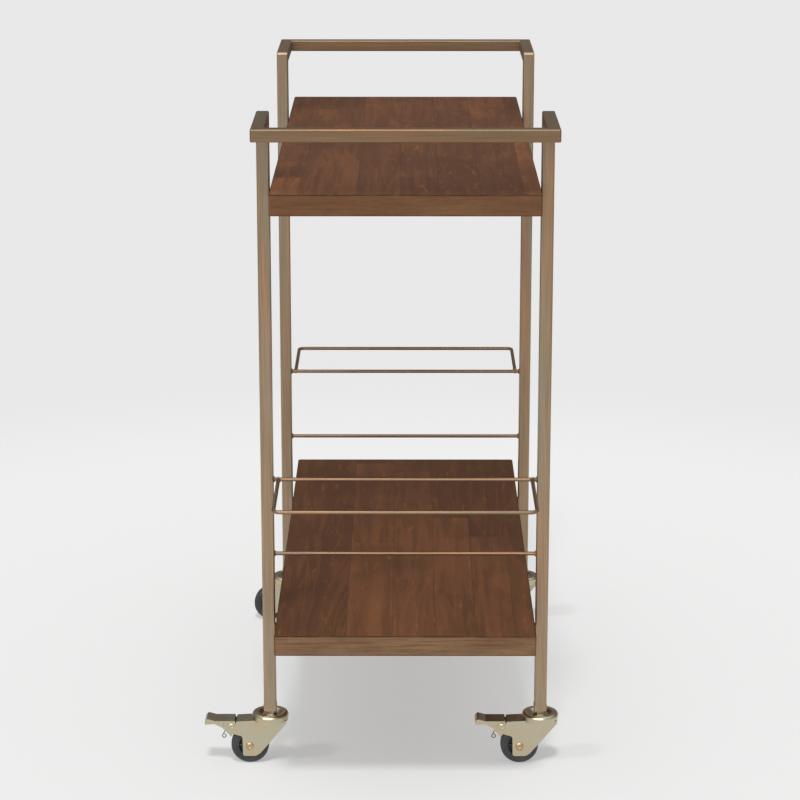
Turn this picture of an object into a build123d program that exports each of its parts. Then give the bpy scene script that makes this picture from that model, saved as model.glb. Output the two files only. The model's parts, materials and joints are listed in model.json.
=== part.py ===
from build123d import *
import math
import os

# Two-shelf bar cart: wooden shelves in a square-tube frame, a handle and a bent guard rod
# beyond the legs at each end, and four swivel casters, braked at the front.
# Millimetres. X runs across the cart, Y along it and Z up.
# The origin is on the floor, midway between the four legs.

# Ends of the cart are front (-Y) and rear (+Y), sides are left (-X) and right (+X).
ENDS = {"front": -1, "rear": 1}
SIDES = {"left": -1, "right": 1}

# --- Frame -------------------------------------------------------------------------------------
OVERALL_HEIGHT = 864.0
FRAME_WIDTH = 371.0  # across the outer faces of the legs
LEG_SPACING = 558.0  # along the cart, between leg centres
HANDLE_REACH = 131.0  # from the legs' outer faces to the handle's outer face
TUBE = 16.0
TUBE_WALL = 1.2
TUBE_CORNER = 1.5
LEG_TOP_ROUNDING = 4.0
HANDLE_END_ROUNDING = 2.0

LEG_X = (FRAME_WIDTH - TUBE) / 2
LEG_Y = LEG_SPACING / 2
CLEAR_WIDTH = FRAME_WIDTH - 2 * TUBE
HANDLE_Y = LEG_Y + HANDLE_REACH
HANDLE_Z = OVERALL_HEIGHT - TUBE / 2

# --- Rods at each end --------------------------------------------------------------------------
ROD = 5.0
UPPER_ROD_Z = 388.0
LOWER_ROD_Z = 288.0
GUARD_REACH = 141.0  # from the legs' centres to the guard rod's outer run
GUARD_INSET = 6.3  # from a leg's inner face to the guard rod's arm
GUARD_BEND = 8.0

# --- Shelves, rails and screws -----------------------------------------------------------------
SHELF_THICKNESS = 26.3
SHELF_GAP = 4.0  # beside the legs
SHELF_OVERHANG = 110.0  # beyond the legs' outer faces
SHELF_CORNER = 3.0
SHELF_EASE = 1.2
UPPER_SHELF_TOP = 781.0
LOWER_SHELF_TOP = 217.0
SHELF_WIDTH = CLEAR_WIDTH - 2 * SHELF_GAP
SHELF_LENGTH = LEG_SPACING + TUBE + 2 * SHELF_OVERHANG

SCREW = 4.2
SCREW_HOLE = 4.8
SCREW_HEAD = 8.4
SCREW_HEAD_HEIGHT = 2.8
SCREW_GRIP = 18.0  # length of thread in the wood
SCREW_X = 0.3 * CLEAR_WIDTH
DRIVE_SIZE = 2.6
DRIVE_DEPTH = 1.4

# --- Leg end inserts ---------------------------------------------------------------------------
CASTER_HEIGHT = 72.5
INSERT_FLANGE = 17.0
INSERT_FLANGE_HEIGHT = 8.0
INSERT_PLUG_LENGTH = 22.0
LEG_TUBE_BOTTOM = CASTER_HEIGHT + INSERT_FLANGE_HEIGHT

# --- Caster: the swivel axis is at its origin, and it trails towards -X ------------------------
TRAIL = 27.0
WHEEL_RADIUS = 25.0
TYRE_WIDTH = 19.0
TYRE_SHOULDER = 3.4
RIM_RADIUS = 17.5
HUB_WIDTH = 21.2
HUB_BOSS_RADIUS = 7.0
HUB_RIM_WALL = 3.0
HUB_RIM_WIDTH = 17.0
HUB_WEB = 5.0
AXLE = 8.0
RUNNING_GAP = 0.05  # radial, in each turning joint
SIDE_GAP = 0.3  # between faces that slide past each other

FORK_WIDTH = 26.0
FORK_SHEET = 2.0
FORK_TOP = 61.0
FORK_DISC_RADIUS = 23.4
FORK_RIM_WALL = 1.5
FORK_RIM_TOP = 64.6
FLARE_FOOT_RADIUS = 13.5
FLARE_HEIGHT = 4.0
ARM_DIMPLE_X = -37.0
ARM_DIMPLE_RADIUS = 2.6
ARM_DIMPLE_HEIGHT = 0.5

STEM = 10.0
STEM_LENGTH_IN_LEG = 20.0
STEM_HEAD_RADIUS = 8.0
STEM_HEAD_HEIGHT = 2.8
NUT_ACROSS_FLATS = 15.0
NUT_CHAMFER_RADIUS = 9.0
DISH_FLOOR = 66.0
DISH_FLOOR_RADIUS = 11.0
RACE_SHEET = 1.5
RACE_RADIUS = 24.0
RACE_CREST_RADIUS = 18.5
RACE_CREST = 69.0
RACE_SHOULDER = 67.0
RACE_UNDER_SHOULDER = 66.6
RACE_SKIRT_BOTTOM = 65.0
BALL_RADIUS = 3.0
BALL_COUNT = 16
BALL_SEAT = 0.2

PIVOT_X = -50.3
PIVOT_Z = 52.5
PIVOT_PIN = 5.0
PIVOT_HEAD_RADIUS = 4.6
PIVOT_HEAD_HEIGHT = 0.95
RIVET_HEAD_RADIUS = 5.4
RIVET_HEAD_HEIGHT = 1.9
RIVET_DOME = 0.8  # share of a head's height that is rounded
PEDAL_SHEET = 1.6
PEDAL_TOP = 60.4
PEDAL_WIDTH = 26.0
PEDAL_INNER_END = -46.5
PEDAL_STRAIGHT_END = -72.0
PEDAL_TIP = -85.5
PEDAL_BEND = 2.2
SHOE_GAP = 2.7  # to the tread while the brake is off
SHOE_THICKNESS = 2.0
SHOE_HEIGHT = 7.0
SHOE_ANGLE = 145.4  # seen from the wheel's centre, from +X
SPRING_WIRE = 1.2
SPRING_TURNS = 4
SPRING_PITCH = 1.5
SPRING_RADIUS = 4.1
SPRING_TAIL = 19.6
SPRING_TAIL_TURN = -152.0  # aims the tail down and away from the wheel
SPRING_EYE_RADIUS = 2.4
SPRING_EYE_TURN = 300.0

# Outlines of pressed pieces in XZ, as corners (x, z, corner radius).
FORK_BACK = [
    (22.0, FORK_TOP, 0.8),
    (22.0, FORK_TOP - 3.5, 2.0),
    (-13.0, 15.5, 7.0),
    (-19.0, 11.5, 5.0),
    (-36.0, 11.5, 3.0),
]
PLAIN_FORK = FORK_BACK + [(-36.5, 36.0, 6.0), (-24.0, FORK_TOP - 3.5, 3.0), (-23.0, FORK_TOP, 0.8)]
BRAKE_ARM = [
    (-36.5, 39.0, 4.0),
    (-56.5, 44.5, 4.0),
    (-56.0, 56.4, 3.0),
    (-45.2, 56.8, 0.5),
    (-44.2, 59.8, 0.5),
    (-22.0, FORK_TOP, 6.0),
]
BRAKED_FORK = FORK_BACK + BRAKE_ARM
PLAIN_HOLLOW = [(24.0, FORK_TOP - FORK_SHEET), (24.0, 0.0), (-60.0, 0.0), (-60.0, FORK_TOP - FORK_SHEET)]
BRAKED_HOLLOW = [
    (24.0, FORK_TOP - FORK_SHEET),
    (24.0, 0.0),
    (-60.0, 0.0),
    (-60.0, FORK_TOP + FORK_SHEET),
    (-44.4, FORK_TOP + FORK_SHEET),
    (-44.4, 57.8),
    (-22.0, FORK_TOP - FORK_SHEET),
]
PEDAL_MIDDLE = PEDAL_TOP - PEDAL_SHEET / 2
PEDAL_LINE = [
    (PEDAL_INNER_END, PEDAL_MIDDLE),
    (PEDAL_STRAIGHT_END, PEDAL_MIDDLE),
    (PEDAL_TIP + 3.5, PEDAL_MIDDLE + 2.8),
    (PEDAL_TIP, PEDAL_MIDDLE - 1.0),
    (PEDAL_TIP + 1.5, PEDAL_MIDDLE - 4.5),
]
PEDAL_FLANGE = [
    (-61.5, PEDAL_MIDDLE, 0.3),
    (-61.5, 50.0, 1.0),
    (-64.5, 52.0, 2.0),
    (-73.0, 56.2, 4.0),
    (PEDAL_TIP + 1.6, 55.6, 1.0),
    (PEDAL_TIP + 0.2, PEDAL_MIDDLE - 1.0, 1.0),
    (PEDAL_TIP + 3.5, PEDAL_MIDDLE + 2.4, 1.0),
    (PEDAL_STRAIGHT_END, PEDAL_MIDDLE, 1.0),
]
PEDAL_CHEEK = [
    (-68.0, PEDAL_MIDDLE, 0.5),
    (-65.0, 52.5, 2.0),
    (-56.5, 43.0, 2.0),
    (-51.0, 38.5, 1.0),
    (-45.6, 47.0, 3.0),
    (-46.2, PEDAL_MIDDLE, 0.5),
]


def square_tube(length):
    """A square tube standing on the origin."""
    inside = TUBE - 2 * TUBE_WALL
    section = RectangleRounded(TUBE, TUBE, TUBE_CORNER) - Rectangle(inside, inside)
    return extrude(section, length)


def tube_between(start, end):
    """A square tube from one point to another, its sides square to the axes."""
    run = Vector(*end) - Vector(*start)
    plane = Plane(origin=start, x_dir=(0, 0, 1) if run.Z == 0 else (1, 0, 0), z_dir=run)
    return plane.location * square_tube(run.length)


def trimmed(shape, point, towards):
    """The part of a shape on one side of a plane through point, the side that towards points to."""
    return split(shape, bisect_by=Plane(origin=point, z_dir=towards), keep=Keep.TOP)


def rod_between(start, end, diameter):
    """A round rod from one point to another."""
    run = Vector(*end) - Vector(*start)
    return extrude(Plane(origin=start, z_dir=run) * Circle(diameter / 2), run.length)


def rounded_face(corners):
    """A face in XY with each corner (x, y, radius) rounded."""
    face = make_face(Polyline([(x, y) for x, y, _ in corners], close=True))
    for x, y, radius in corners:
        corner = face.vertices().sort_by_distance((x, y, 0))[0]
        face = fillet(corner, radius)
    return face


def side_plate(corners, low_y, high_y):
    """A plate with its outline in XZ, standing between two Y values."""
    face = Plane.XZ * rounded_face(corners)
    return Pos(0, high_y, 0) * extrude(face, high_y - low_y)


def corner_waste(corner, x_dir, z_dir, radius):
    """What is ground off to round an outer edge that runs through corner along z_dir."""
    sketch = Rectangle(radius, radius, align=(Align.MIN, Align.MIN)) - Pos(radius, radius) * Circle(radius)
    return Plane(origin=corner, x_dir=x_dir, z_dir=z_dir) * extrude(sketch, FRAME_WIDTH, both=True)


# --- Frame pieces ------------------------------------------------------------------------------


def leg_top_waste(end):
    """What is ground off where the legs of one end meet the handle's arms."""
    corner = (0, end * (LEG_Y - TUBE / 2), OVERALL_HEIGHT)
    return corner_waste(corner, (0, end, 0), (-end, 0, 0), LEG_TOP_ROUNDING)


def leg(side, end):
    """An upright tube, mitred at its top to meet the handle's arm."""
    foot = (side * LEG_X, end * LEG_Y, LEG_TUBE_BOTTOM)
    top = (side * LEG_X, end * LEG_Y, OVERALL_HEIGHT)
    corner = (side * LEG_X, end * LEG_Y, HANDLE_Z)
    return trimmed(tube_between(foot, top), corner, (0, -end, -1)) - leg_top_waste(end)


def handle(end):
    """Two arms and a bar in one level loop, mitred at every corner."""
    inner = end * (LEG_Y - TUBE / 2)
    outer = end * (HANDLE_Y + TUBE / 2)
    half = FRAME_WIDTH / 2
    bar = tube_between((-half, end * HANDLE_Y, HANDLE_Z), (half, end * HANDLE_Y, HANDLE_Z))
    pieces = []
    for side in SIDES.values():
        bend = (side * LEG_X, end * HANDLE_Y, HANDLE_Z)
        leg_top = (side * LEG_X, end * LEG_Y, HANDLE_Z)
        outside = (side * half, outer, HANDLE_Z)
        rounding = corner_waste(outside, (-side, 0, 0), (0, 0, end * side), HANDLE_END_ROUNDING)
        arm = tube_between((side * LEG_X, inner, HANDLE_Z), (side * LEG_X, outer, HANDLE_Z))
        arm = trimmed(arm, leg_top, (0, end, 1)) - leg_top_waste(end)
        pieces.append(trimmed(arm, bend, (side, -end, 0)) - rounding)
        bar = trimmed(bar, bend, (-side, end, 0)) - rounding
    return Compound(children=[*pieces, bar])


def cross_rail(end, shelf_bottom):
    """The tube under a shelf, between two legs, drilled for the shelf's screws."""
    height = shelf_bottom - TUBE / 2
    half = CLEAR_WIDTH / 2
    rail = tube_between((-half, end * LEG_Y, height), (half, end * LEG_Y, height))
    for side in SIDES.values():
        rail -= Pos(side * SCREW_X, end * LEG_Y, height) * Cylinder(SCREW_HOLE / 2, 2 * TUBE)
    return rail


def cross_rod(end, height):
    """A straight rod between the two legs of one end."""
    y = end * LEG_Y
    return rod_between((-CLEAR_WIDTH / 2, y, height), (CLEAR_WIDTH / 2, y, height), ROD)


def guard_rod(end):
    """A rod bent into a level loop, welded by its ends to the upper cross rod."""
    x = CLEAR_WIDTH / 2 - GUARD_INSET
    near = end * (LEG_Y + ROD / 2)
    far = end * (LEG_Y + GUARD_REACH)
    corners = [(px, py, UPPER_ROD_Z) for px, py in ((-x, near), (-x, far), (x, far), (x, near))]
    path = FilletPolyline(corners, radius=GUARD_BEND)
    return sweep(Plane(origin=corners[0], z_dir=(0, end, 0)) * Circle(ROD / 2), path)


def screw_places(top):
    """Where the screws of a shelf start, at the undersides of its rails."""
    bottom = top - SHELF_THICKNESS - TUBE
    return [(side * SCREW_X, end * LEG_Y, bottom) for end in ENDS.values() for side in SIDES.values()]


def shelf(top):
    """A solid wood board with eased edges and pilot holes under its rails."""
    board = Pos(0, 0, top - SHELF_THICKNESS / 2) * Box(SHELF_WIDTH, SHELF_LENGTH, SHELF_THICKNESS)
    board = fillet(board.edges().filter_by(Axis.Z), SHELF_CORNER)
    board = fillet(board.faces().sort_by(Axis.Z)[-1].edges(), SHELF_EASE)
    board = fillet(board.faces().sort_by(Axis.Z)[0].edges(), SHELF_EASE)
    for place in screw_places(top):
        pilot = Pos(place) * extrude(Circle(SCREW / 2), TUBE + SCREW_GRIP)
        board -= pilot
    return board


def shelf_screw():
    """A pan-head wood screw pointing up, the underside of its head at the origin."""
    shank = extrude(Circle(SCREW / 2), TUBE + SCREW_GRIP)
    head = Pos(0, 0, -SCREW_HEAD_HEIGHT) * extrude(Circle(SCREW_HEAD / 2), SCREW_HEAD_HEIGHT)
    head = fillet(head.edges().sort_by(Axis.Z)[0], SCREW_HEAD_HEIGHT / 2)
    recess = Rectangle(DRIVE_SIZE, DRIVE_SIZE / 3) + Rectangle(DRIVE_SIZE / 3, DRIVE_SIZE)
    return shank + head - Pos(0, 0, -SCREW_HEAD_HEIGHT) * extrude(recess, DRIVE_DEPTH)


def shelf_screws():
    """All the screws of both shelves."""
    places = screw_places(UPPER_SHELF_TOP) + screw_places(LOWER_SHELF_TOP)
    return Compound(children=[Pos(place) * shelf_screw() for place in places])


def leg_insert():
    """A plug in the foot of a leg, with a square flange below and a threaded bore for the stem."""
    flange = extrude(RectangleRounded(INSERT_FLANGE, INSERT_FLANGE, TUBE_CORNER), INSERT_FLANGE_HEIGHT)
    inside = TUBE - 2 * TUBE_WALL
    plug = extrude(Rectangle(inside, inside), INSERT_FLANGE_HEIGHT + INSERT_PLUG_LENGTH)
    bore = extrude(Circle(STEM / 2), INSERT_FLANGE_HEIGHT + INSERT_PLUG_LENGTH)
    return Pos(0, 0, CASTER_HEIGHT) * (flange + plug - bore)


# --- Caster pieces -----------------------------------------------------------------------------


def caster_stem():
    """The king pin: threaded above, riveted over below the fork."""
    bottom = FORK_TOP - FORK_SHEET - SIDE_GAP - STEM_HEAD_HEIGHT
    pin = Pos(0, 0, bottom) * extrude(Circle(STEM / 2), CASTER_HEIGHT + STEM_LENGTH_IN_LEG - bottom)
    head = Pos(0, 0, bottom) * extrude(Circle(STEM_HEAD_RADIUS), STEM_HEAD_HEIGHT)
    return pin + fillet(head.edges().sort_by(Axis.Z)[0], STEM_HEAD_HEIGHT / 2)


def stem_nut():
    """The hexagon nut clamped between the dish and the leg."""
    sketch = RegularPolygon(NUT_ACROSS_FLATS / 2, 6, major_radius=False) - Circle(STEM / 2)
    nut = extrude(sketch, CASTER_HEIGHT - DISH_FLOOR)
    ball = Pos(0, 0, (CASTER_HEIGHT - DISH_FLOOR) / 2) * Sphere(NUT_CHAMFER_RADIUS)
    return Pos(0, 0, DISH_FLOOR) * (nut & ball)


def race_dish():
    """The fixed upper race: a pressed dish with a domed rim and a skirt over the balls."""
    inner = STEM / 2
    skirt = RACE_RADIUS
    top = Spline(
        (DISH_FLOOR_RADIUS, DISH_FLOOR),
        (RACE_CREST_RADIUS, RACE_CREST),
        (skirt, RACE_SHOULDER),
        tangents=[(1, 0.1), (0, -1)],
    )
    under = Spline(
        (skirt - RACE_SHEET, RACE_UNDER_SHOULDER),
        (RACE_CREST_RADIUS, RACE_CREST - RACE_SHEET),
        (DISH_FLOOR_RADIUS, DISH_FLOOR - RACE_SHEET),
        tangents=[(0, 1), (-1, -0.1)],
    )
    profile = [
        Line((inner, DISH_FLOOR - RACE_SHEET), (inner, DISH_FLOOR)),
        Line((inner, DISH_FLOOR), top @ 0),
        top,
        Line(top @ 1, (skirt, RACE_SKIRT_BOTTOM)),
        Line((skirt, RACE_SKIRT_BOTTOM), (skirt - RACE_SHEET, RACE_SKIRT_BOTTOM)),
        Line((skirt - RACE_SHEET, RACE_SKIRT_BOTTOM), under @ 0),
        under,
        Line(under @ 1, (inner, DISH_FLOOR - RACE_SHEET)),
    ]
    return revolve(Plane.XZ * make_face(profile), Axis.Z)


def bearing_balls():
    """The ring of balls between the fork and the dish."""
    height = FORK_TOP - BALL_SEAT + BALL_RADIUS
    ring = PolarLocations(RACE_CREST_RADIUS, BALL_COUNT)
    return Compound(children=[Pos(0, 0, height) * place * Sphere(BALL_RADIUS) for place in ring])


def fork(outline, hollow, braked):
    """The pressed fork: two sides, a sloping top and the rimmed disc that carries the balls."""
    half = FORK_WIDTH / 2
    inner = half - FORK_SHEET
    body = side_plate(outline, -half, half)
    if braked:
        body += axis_rod(ARM_DIMPLE_X, PIVOT_Z, ARM_DIMPLE_RADIUS, FORK_WIDTH + 2 * ARM_DIMPLE_HEIGHT)
    flare_z = FORK_TOP - FORK_SHEET - FLARE_HEIGHT
    flare = Pos(0, 0, flare_z + FLARE_HEIGHT / 2) * (
        Cone(FLARE_FOOT_RADIUS, FORK_DISC_RADIUS, FLARE_HEIGHT)
        - Cone(FLARE_FOOT_RADIUS - FORK_SHEET, FORK_DISC_RADIUS - FORK_SHEET, FLARE_HEIGHT)
    )
    disc = Pos(0, 0, FORK_TOP - FORK_SHEET) * extrude(Circle(FORK_DISC_RADIUS), FORK_SHEET)
    rim = Circle(FORK_DISC_RADIUS) - Circle(FORK_DISC_RADIUS - FORK_RIM_WALL)
    rim = Pos(0, 0, FORK_TOP) * extrude(rim, FORK_RIM_TOP - FORK_TOP)
    cut = Pos(0, inner, 0) * extrude(Plane.XZ * make_face(Polyline(hollow, close=True)), 2 * inner)
    body = body + flare - cut + disc + rim
    body -= Pos(0, 0, FORK_TOP) * Cylinder(STEM / 2 + RUNNING_GAP, 4 * FORK_SHEET)
    body -= Pos(0, 0, FORK_TOP - BALL_SEAT + BALL_RADIUS) * Torus(RACE_CREST_RADIUS, BALL_RADIUS)
    body -= axis_rod(-TRAIL, WHEEL_RADIUS, AXLE / 2, FORK_WIDTH)
    if braked:
        body -= axis_rod(PIVOT_X, PIVOT_Z, PIVOT_PIN / 2, FORK_WIDTH)
    return body


def axis_rod(x, z, radius, length):
    """A rod along Y through (x, z), centred on the caster."""
    return Pos(x, 0, z) * Rot(90, 0, 0) * Cylinder(radius, length)


def cross_rivet(x, z, shank_radius, head_radius, head_height):
    """A rivet through both sides of the fork, with a domed head outside each."""
    rivet = axis_rod(x, z, shank_radius, FORK_WIDTH)
    for side in SIDES.values():
        centre = Pos(x, side * (FORK_WIDTH + head_height) / 2, z)
        head = centre * Rot(90, 0, 0) * Cylinder(head_radius, head_height)
        outer = head.edges().sort_by(Axis.Y)[0 if side < 0 else -1]
        rivet += fillet(outer, RIVET_DOME * head_height)
    return rivet


def tyre():
    """A solid tread ring with rounded shoulders."""
    ring = Cylinder(WHEEL_RADIUS, TYRE_WIDTH) - Cylinder(RIM_RADIUS, TYRE_WIDTH)
    edges = ring.edges().filter_by(GeomType.CIRCLE)
    outer = [edge for edge in edges if edge.radius > (WHEEL_RADIUS + RIM_RADIUS) / 2]
    return Pos(-TRAIL, 0, WHEEL_RADIUS) * Rot(90, 0, 0) * fillet(outer, TYRE_SHOULDER)


def hub():
    """The moulded wheel centre: rim, web and a long boss that turns on the axle."""
    rim = Cylinder(RIM_RADIUS, HUB_RIM_WIDTH) - Cylinder(RIM_RADIUS - HUB_RIM_WALL, HUB_RIM_WIDTH)
    web = Cylinder(RIM_RADIUS - HUB_RIM_WALL, HUB_WEB)
    boss = Cylinder(HUB_BOSS_RADIUS, HUB_WIDTH)
    bore = Cylinder(AXLE / 2 + RUNNING_GAP, HUB_WIDTH)
    return Pos(-TRAIL, 0, WHEEL_RADIUS) * Rot(90, 0, 0) * (rim + web + boss - bore)


def pedal():
    """The brake lever: a tread plate with a rolled tip and side flanges, two cheeks and a shoe."""
    line = FilletPolyline(PEDAL_LINE, radius=PEDAL_BEND)
    half = PEDAL_WIDTH / 2
    outside = FORK_WIDTH / 2 - FORK_SHEET - SIDE_GAP
    inside = outside - PEDAL_SHEET
    lever = Pos(0, half, 0) * extrude(Plane.XZ * trace(line, PEDAL_SHEET), PEDAL_WIDTH)
    for side in SIDES.values():
        cheek = sorted((side * inside, side * outside))
        flange = sorted((side * (half - PEDAL_SHEET), side * half))
        lever += side_plate(PEDAL_CHEEK, *cheek)
        lever += side_plate(PEDAL_FLANGE, *flange)
    reach = WHEEL_RADIUS + SHOE_GAP + SHOE_THICKNESS / 2
    angle = math.radians(SHOE_ANGLE)
    place = Pos(-TRAIL + reach * math.cos(angle), 0, WHEEL_RADIUS + reach * math.sin(angle))
    lever += place * Rot(0, -SHOE_ANGLE, 0) * Box(SHOE_THICKNESS, 2 * outside, SHOE_HEIGHT)
    return lever - axis_rod(PIVOT_X, PIVOT_Z, PIVOT_PIN / 2 + RUNNING_GAP, FORK_WIDTH)


def brake_spring():
    """A wire spring coiled on the pivot, its tail ending in an eye below the arm."""
    height = SPRING_TURNS * SPRING_PITCH
    helix = Helix(pitch=SPRING_PITCH, height=height, radius=SPRING_RADIUS)
    wire = Circle(SPRING_WIRE / 2)
    coil = sweep(Plane(origin=helix @ 0, z_dir=helix % 0) * wire, helix, is_frenet=True)
    tail = Line(helix @ 1, helix @ 1 + Vector(0, SPRING_TAIL, 0))
    eye = JernArc(tail @ 1, (0, 1, 0), SPRING_EYE_RADIUS, SPRING_EYE_TURN)
    hook = sweep(Plane(origin=tail @ 0, z_dir=(0, 1, 0)) * wire, Wire([*tail.edges(), *eye.edges()]))
    upright = Rot(90, 0, 0) * Pos(0, 0, -height / 2) * (coil + hook)
    return Pos(PIVOT_X, 0, PIVOT_Z) * Rot(0, SPRING_TAIL_TURN, 0) * upright


# --- Assembly ----------------------------------------------------------------------------------


def frame_nodes():
    """Every node that belongs to the frame."""
    nodes = {}
    for end_name, end in ENDS.items():
        for side_name, side in SIDES.items():
            nodes[f"{end_name}_{side_name}_leg"] = leg(side, end)
        nodes[f"{end_name}_handle"] = handle(end)
        nodes[f"{end_name}_upper_rail"] = cross_rail(end, UPPER_SHELF_TOP - SHELF_THICKNESS)
        nodes[f"{end_name}_lower_rail"] = cross_rail(end, LOWER_SHELF_TOP - SHELF_THICKNESS)
        nodes[f"{end_name}_upper_rod"] = cross_rod(end, UPPER_ROD_Z)
        nodes[f"{end_name}_lower_rod"] = cross_rod(end, LOWER_ROD_Z)
        nodes[f"{end_name}_guard_rod"] = guard_rod(end)
    nodes["upper_shelf"] = shelf(UPPER_SHELF_TOP)
    nodes["lower_shelf"] = shelf(LOWER_SHELF_TOP)
    nodes["shelf_screws"] = shelf_screws()
    return nodes


def caster_nodes():
    """Every caster's nodes, and the fixed pieces that the four casters share as groups."""
    plain = {
        "race_dish": race_dish(),
        "bearing_balls": bearing_balls(),
        "fork": fork(PLAIN_FORK, PLAIN_HOLLOW, False),
        "axle_rivet": cross_rivet(-TRAIL, WHEEL_RADIUS, AXLE / 2, RIVET_HEAD_RADIUS, RIVET_HEAD_HEIGHT),
        "tyre": tyre(),
        "wheel_hub": hub(),
    }
    braked = {
        **plain,
        "fork": fork(BRAKED_FORK, BRAKED_HOLLOW, True),
        "brake_pedal": pedal(),
        "brake_pivot_pin": cross_rivet(PIVOT_X, PIVOT_Z, PIVOT_PIN / 2, PIVOT_HEAD_RADIUS, PIVOT_HEAD_HEIGHT),
        "brake_spring": brake_spring(),
    }
    shared = {"leg_inserts": leg_insert(), "caster_stems": caster_stem(), "stem_nuts": stem_nut()}
    nodes = {}
    placed = {name: [] for name in shared}
    for end_name, pieces in (("front", braked), ("rear", plain)):
        for side_name, side in SIDES.items():
            at = Pos(side * LEG_X, ENDS[end_name] * LEG_Y, 0)
            for name, piece in pieces.items():
                nodes[f"{end_name}_{side_name}_{name}"] = at * piece
            for name, piece in shared.items():
                placed[name].append(at * piece)
    for name, copies in placed.items():
        nodes[name] = Compound(children=copies)
    return nodes


os.makedirs("parts", exist_ok=True)
for node, shape in {**frame_nodes(), **caster_nodes()}.items():
    export_step(shape, f"parts/{node}.step")
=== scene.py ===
import json
import math

import bmesh
import bpy
from bpy.props import FloatProperty, FloatVectorProperty, IntProperty, PointerProperty
from mathutils import Matrix, Vector


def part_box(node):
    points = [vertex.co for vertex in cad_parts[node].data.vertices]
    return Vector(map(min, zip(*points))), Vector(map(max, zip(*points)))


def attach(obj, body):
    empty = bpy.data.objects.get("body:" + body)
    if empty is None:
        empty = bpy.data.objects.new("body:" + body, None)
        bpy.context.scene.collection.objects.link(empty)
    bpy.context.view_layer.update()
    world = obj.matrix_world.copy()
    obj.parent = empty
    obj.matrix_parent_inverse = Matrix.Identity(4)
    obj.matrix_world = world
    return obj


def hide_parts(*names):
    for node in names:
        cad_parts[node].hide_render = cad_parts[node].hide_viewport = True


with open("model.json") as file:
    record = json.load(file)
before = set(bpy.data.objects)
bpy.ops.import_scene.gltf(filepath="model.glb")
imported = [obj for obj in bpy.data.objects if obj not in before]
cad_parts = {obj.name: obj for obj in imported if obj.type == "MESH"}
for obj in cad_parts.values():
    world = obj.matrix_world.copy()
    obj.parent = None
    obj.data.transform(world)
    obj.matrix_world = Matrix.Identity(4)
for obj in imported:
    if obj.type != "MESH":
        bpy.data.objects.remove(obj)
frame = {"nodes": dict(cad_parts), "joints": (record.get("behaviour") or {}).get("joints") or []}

bl_info = {
    "name": "Bar Cart Pieces",
    "version": (1, 0, 0),
    "blender": (4, 5, 0),
    "location": "View3D > Sidebar > Bar Cart",
    "description": "Builds the visible pieces and finishes of a bar cart round its CAD frame",
    "category": "Object",
}

MM = 0.001
ENDS = ("front", "rear")
SIDES = ("left", "right")
CORNERS = [f"{end}_{side}" for end in ENDS for side in SIDES]
JOINTS = {joint["name"]: joint for joint in frame["joints"]}
FRAME_BODY = "frame"


# --- What the frame says about sizes and places -------------------------------------------------


def box_size(node):
    """The width, length and height of a CAD node."""
    low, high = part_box(node)
    return high - low


def box_middle(node):
    """The centre of a CAD node's box."""
    low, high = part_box(node)
    return (low + high) / 2


TUBE = box_size("front_left_leg").x
ROD = box_size("front_upper_rod").z
WHEEL_RADIUS = box_size("front_left_tyre").z / 2
BEAD_STAND_OFF = 0.3 * MM  # from a rod's surface to the middle of its weld beads
BEAD_SINK = 0.6 * MM  # how far the beads sit in from a rod's end
SCREW_HEAD_RADIUS = 4.2 * MM
DISH_FLOOR = 66.0 * MM  # height of the race dish's sunken middle
DISH_SHEET = 1.5 * MM
STEM_HOLE_RADIUS = 5.0 * MM
FORK_HALF_WIDTH = 13.0 * MM


class Caster:
    """Where one caster stands and how far it is turned about its swivel axis."""

    def __init__(self, corner):
        self.corner = corner
        swivel = Vector(JOINTS[f"{corner}_swivel_turn"]["pos_m"])
        axle = Vector(JOINTS[f"{corner}_wheel_spin"]["pos_m"])
        brake = JOINTS.get(f"{corner}_brake_press")
        trail = axle - swivel
        self.axle = Vector((-Vector((trail.x, trail.y)).length, 0, axle.z))
        self.pivot = None
        if brake:
            pivot = Vector(brake["pos_m"])
            self.pivot = Vector((-(pivot - swivel).to_2d().length, 0, pivot.z))
        turn = math.atan2(-trail.y, -trail.x)
        self.place = Matrix.Translation((swivel.x, swivel.y, 0)) @ Matrix.Rotation(turn, 4, "Z")

    def node(self, name):
        """The CAD node of this caster with that name."""
        return f"{self.corner}_{name}"

    def body(self, name):
        """The moving body of this caster with that name."""
        return f"{self.corner}_{name}"


CASTERS = [Caster(corner) for corner in CORNERS]
BRAKED = [caster for caster in CASTERS if caster.pivot]


# --- Making trees and materials -----------------------------------------------------------------


class Tree:
    """Adds nodes to a node tree and joins them."""

    def __init__(self, tree):
        self.tree = tree

    def add(self, kind, inputs=None, **settings):
        """A new node; an input's value is a constant or another node's output socket."""
        node = self.tree.nodes.new(kind)
        for name, value in settings.items():
            setattr(node, name, value)
        for key, value in (inputs or {}).items():
            socket = node.inputs[key]
            if isinstance(value, bpy.types.NodeSocket):
                self.tree.links.new(value, socket)
            else:
                socket.default_value = value
        return node

    def math(self, operation, first, second=0.0, third=0.0):
        """The output of a Math node."""
        return self.add("ShaderNodeMath", {0: first, 1: second, 2: third}, operation=operation).outputs[0]

    def vector(self, operation, first, second=(0, 0, 0)):
        """The output of a Vector Math node."""
        return self.add("ShaderNodeVectorMath", {0: first, 1: second}, operation=operation).outputs[0]


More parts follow.
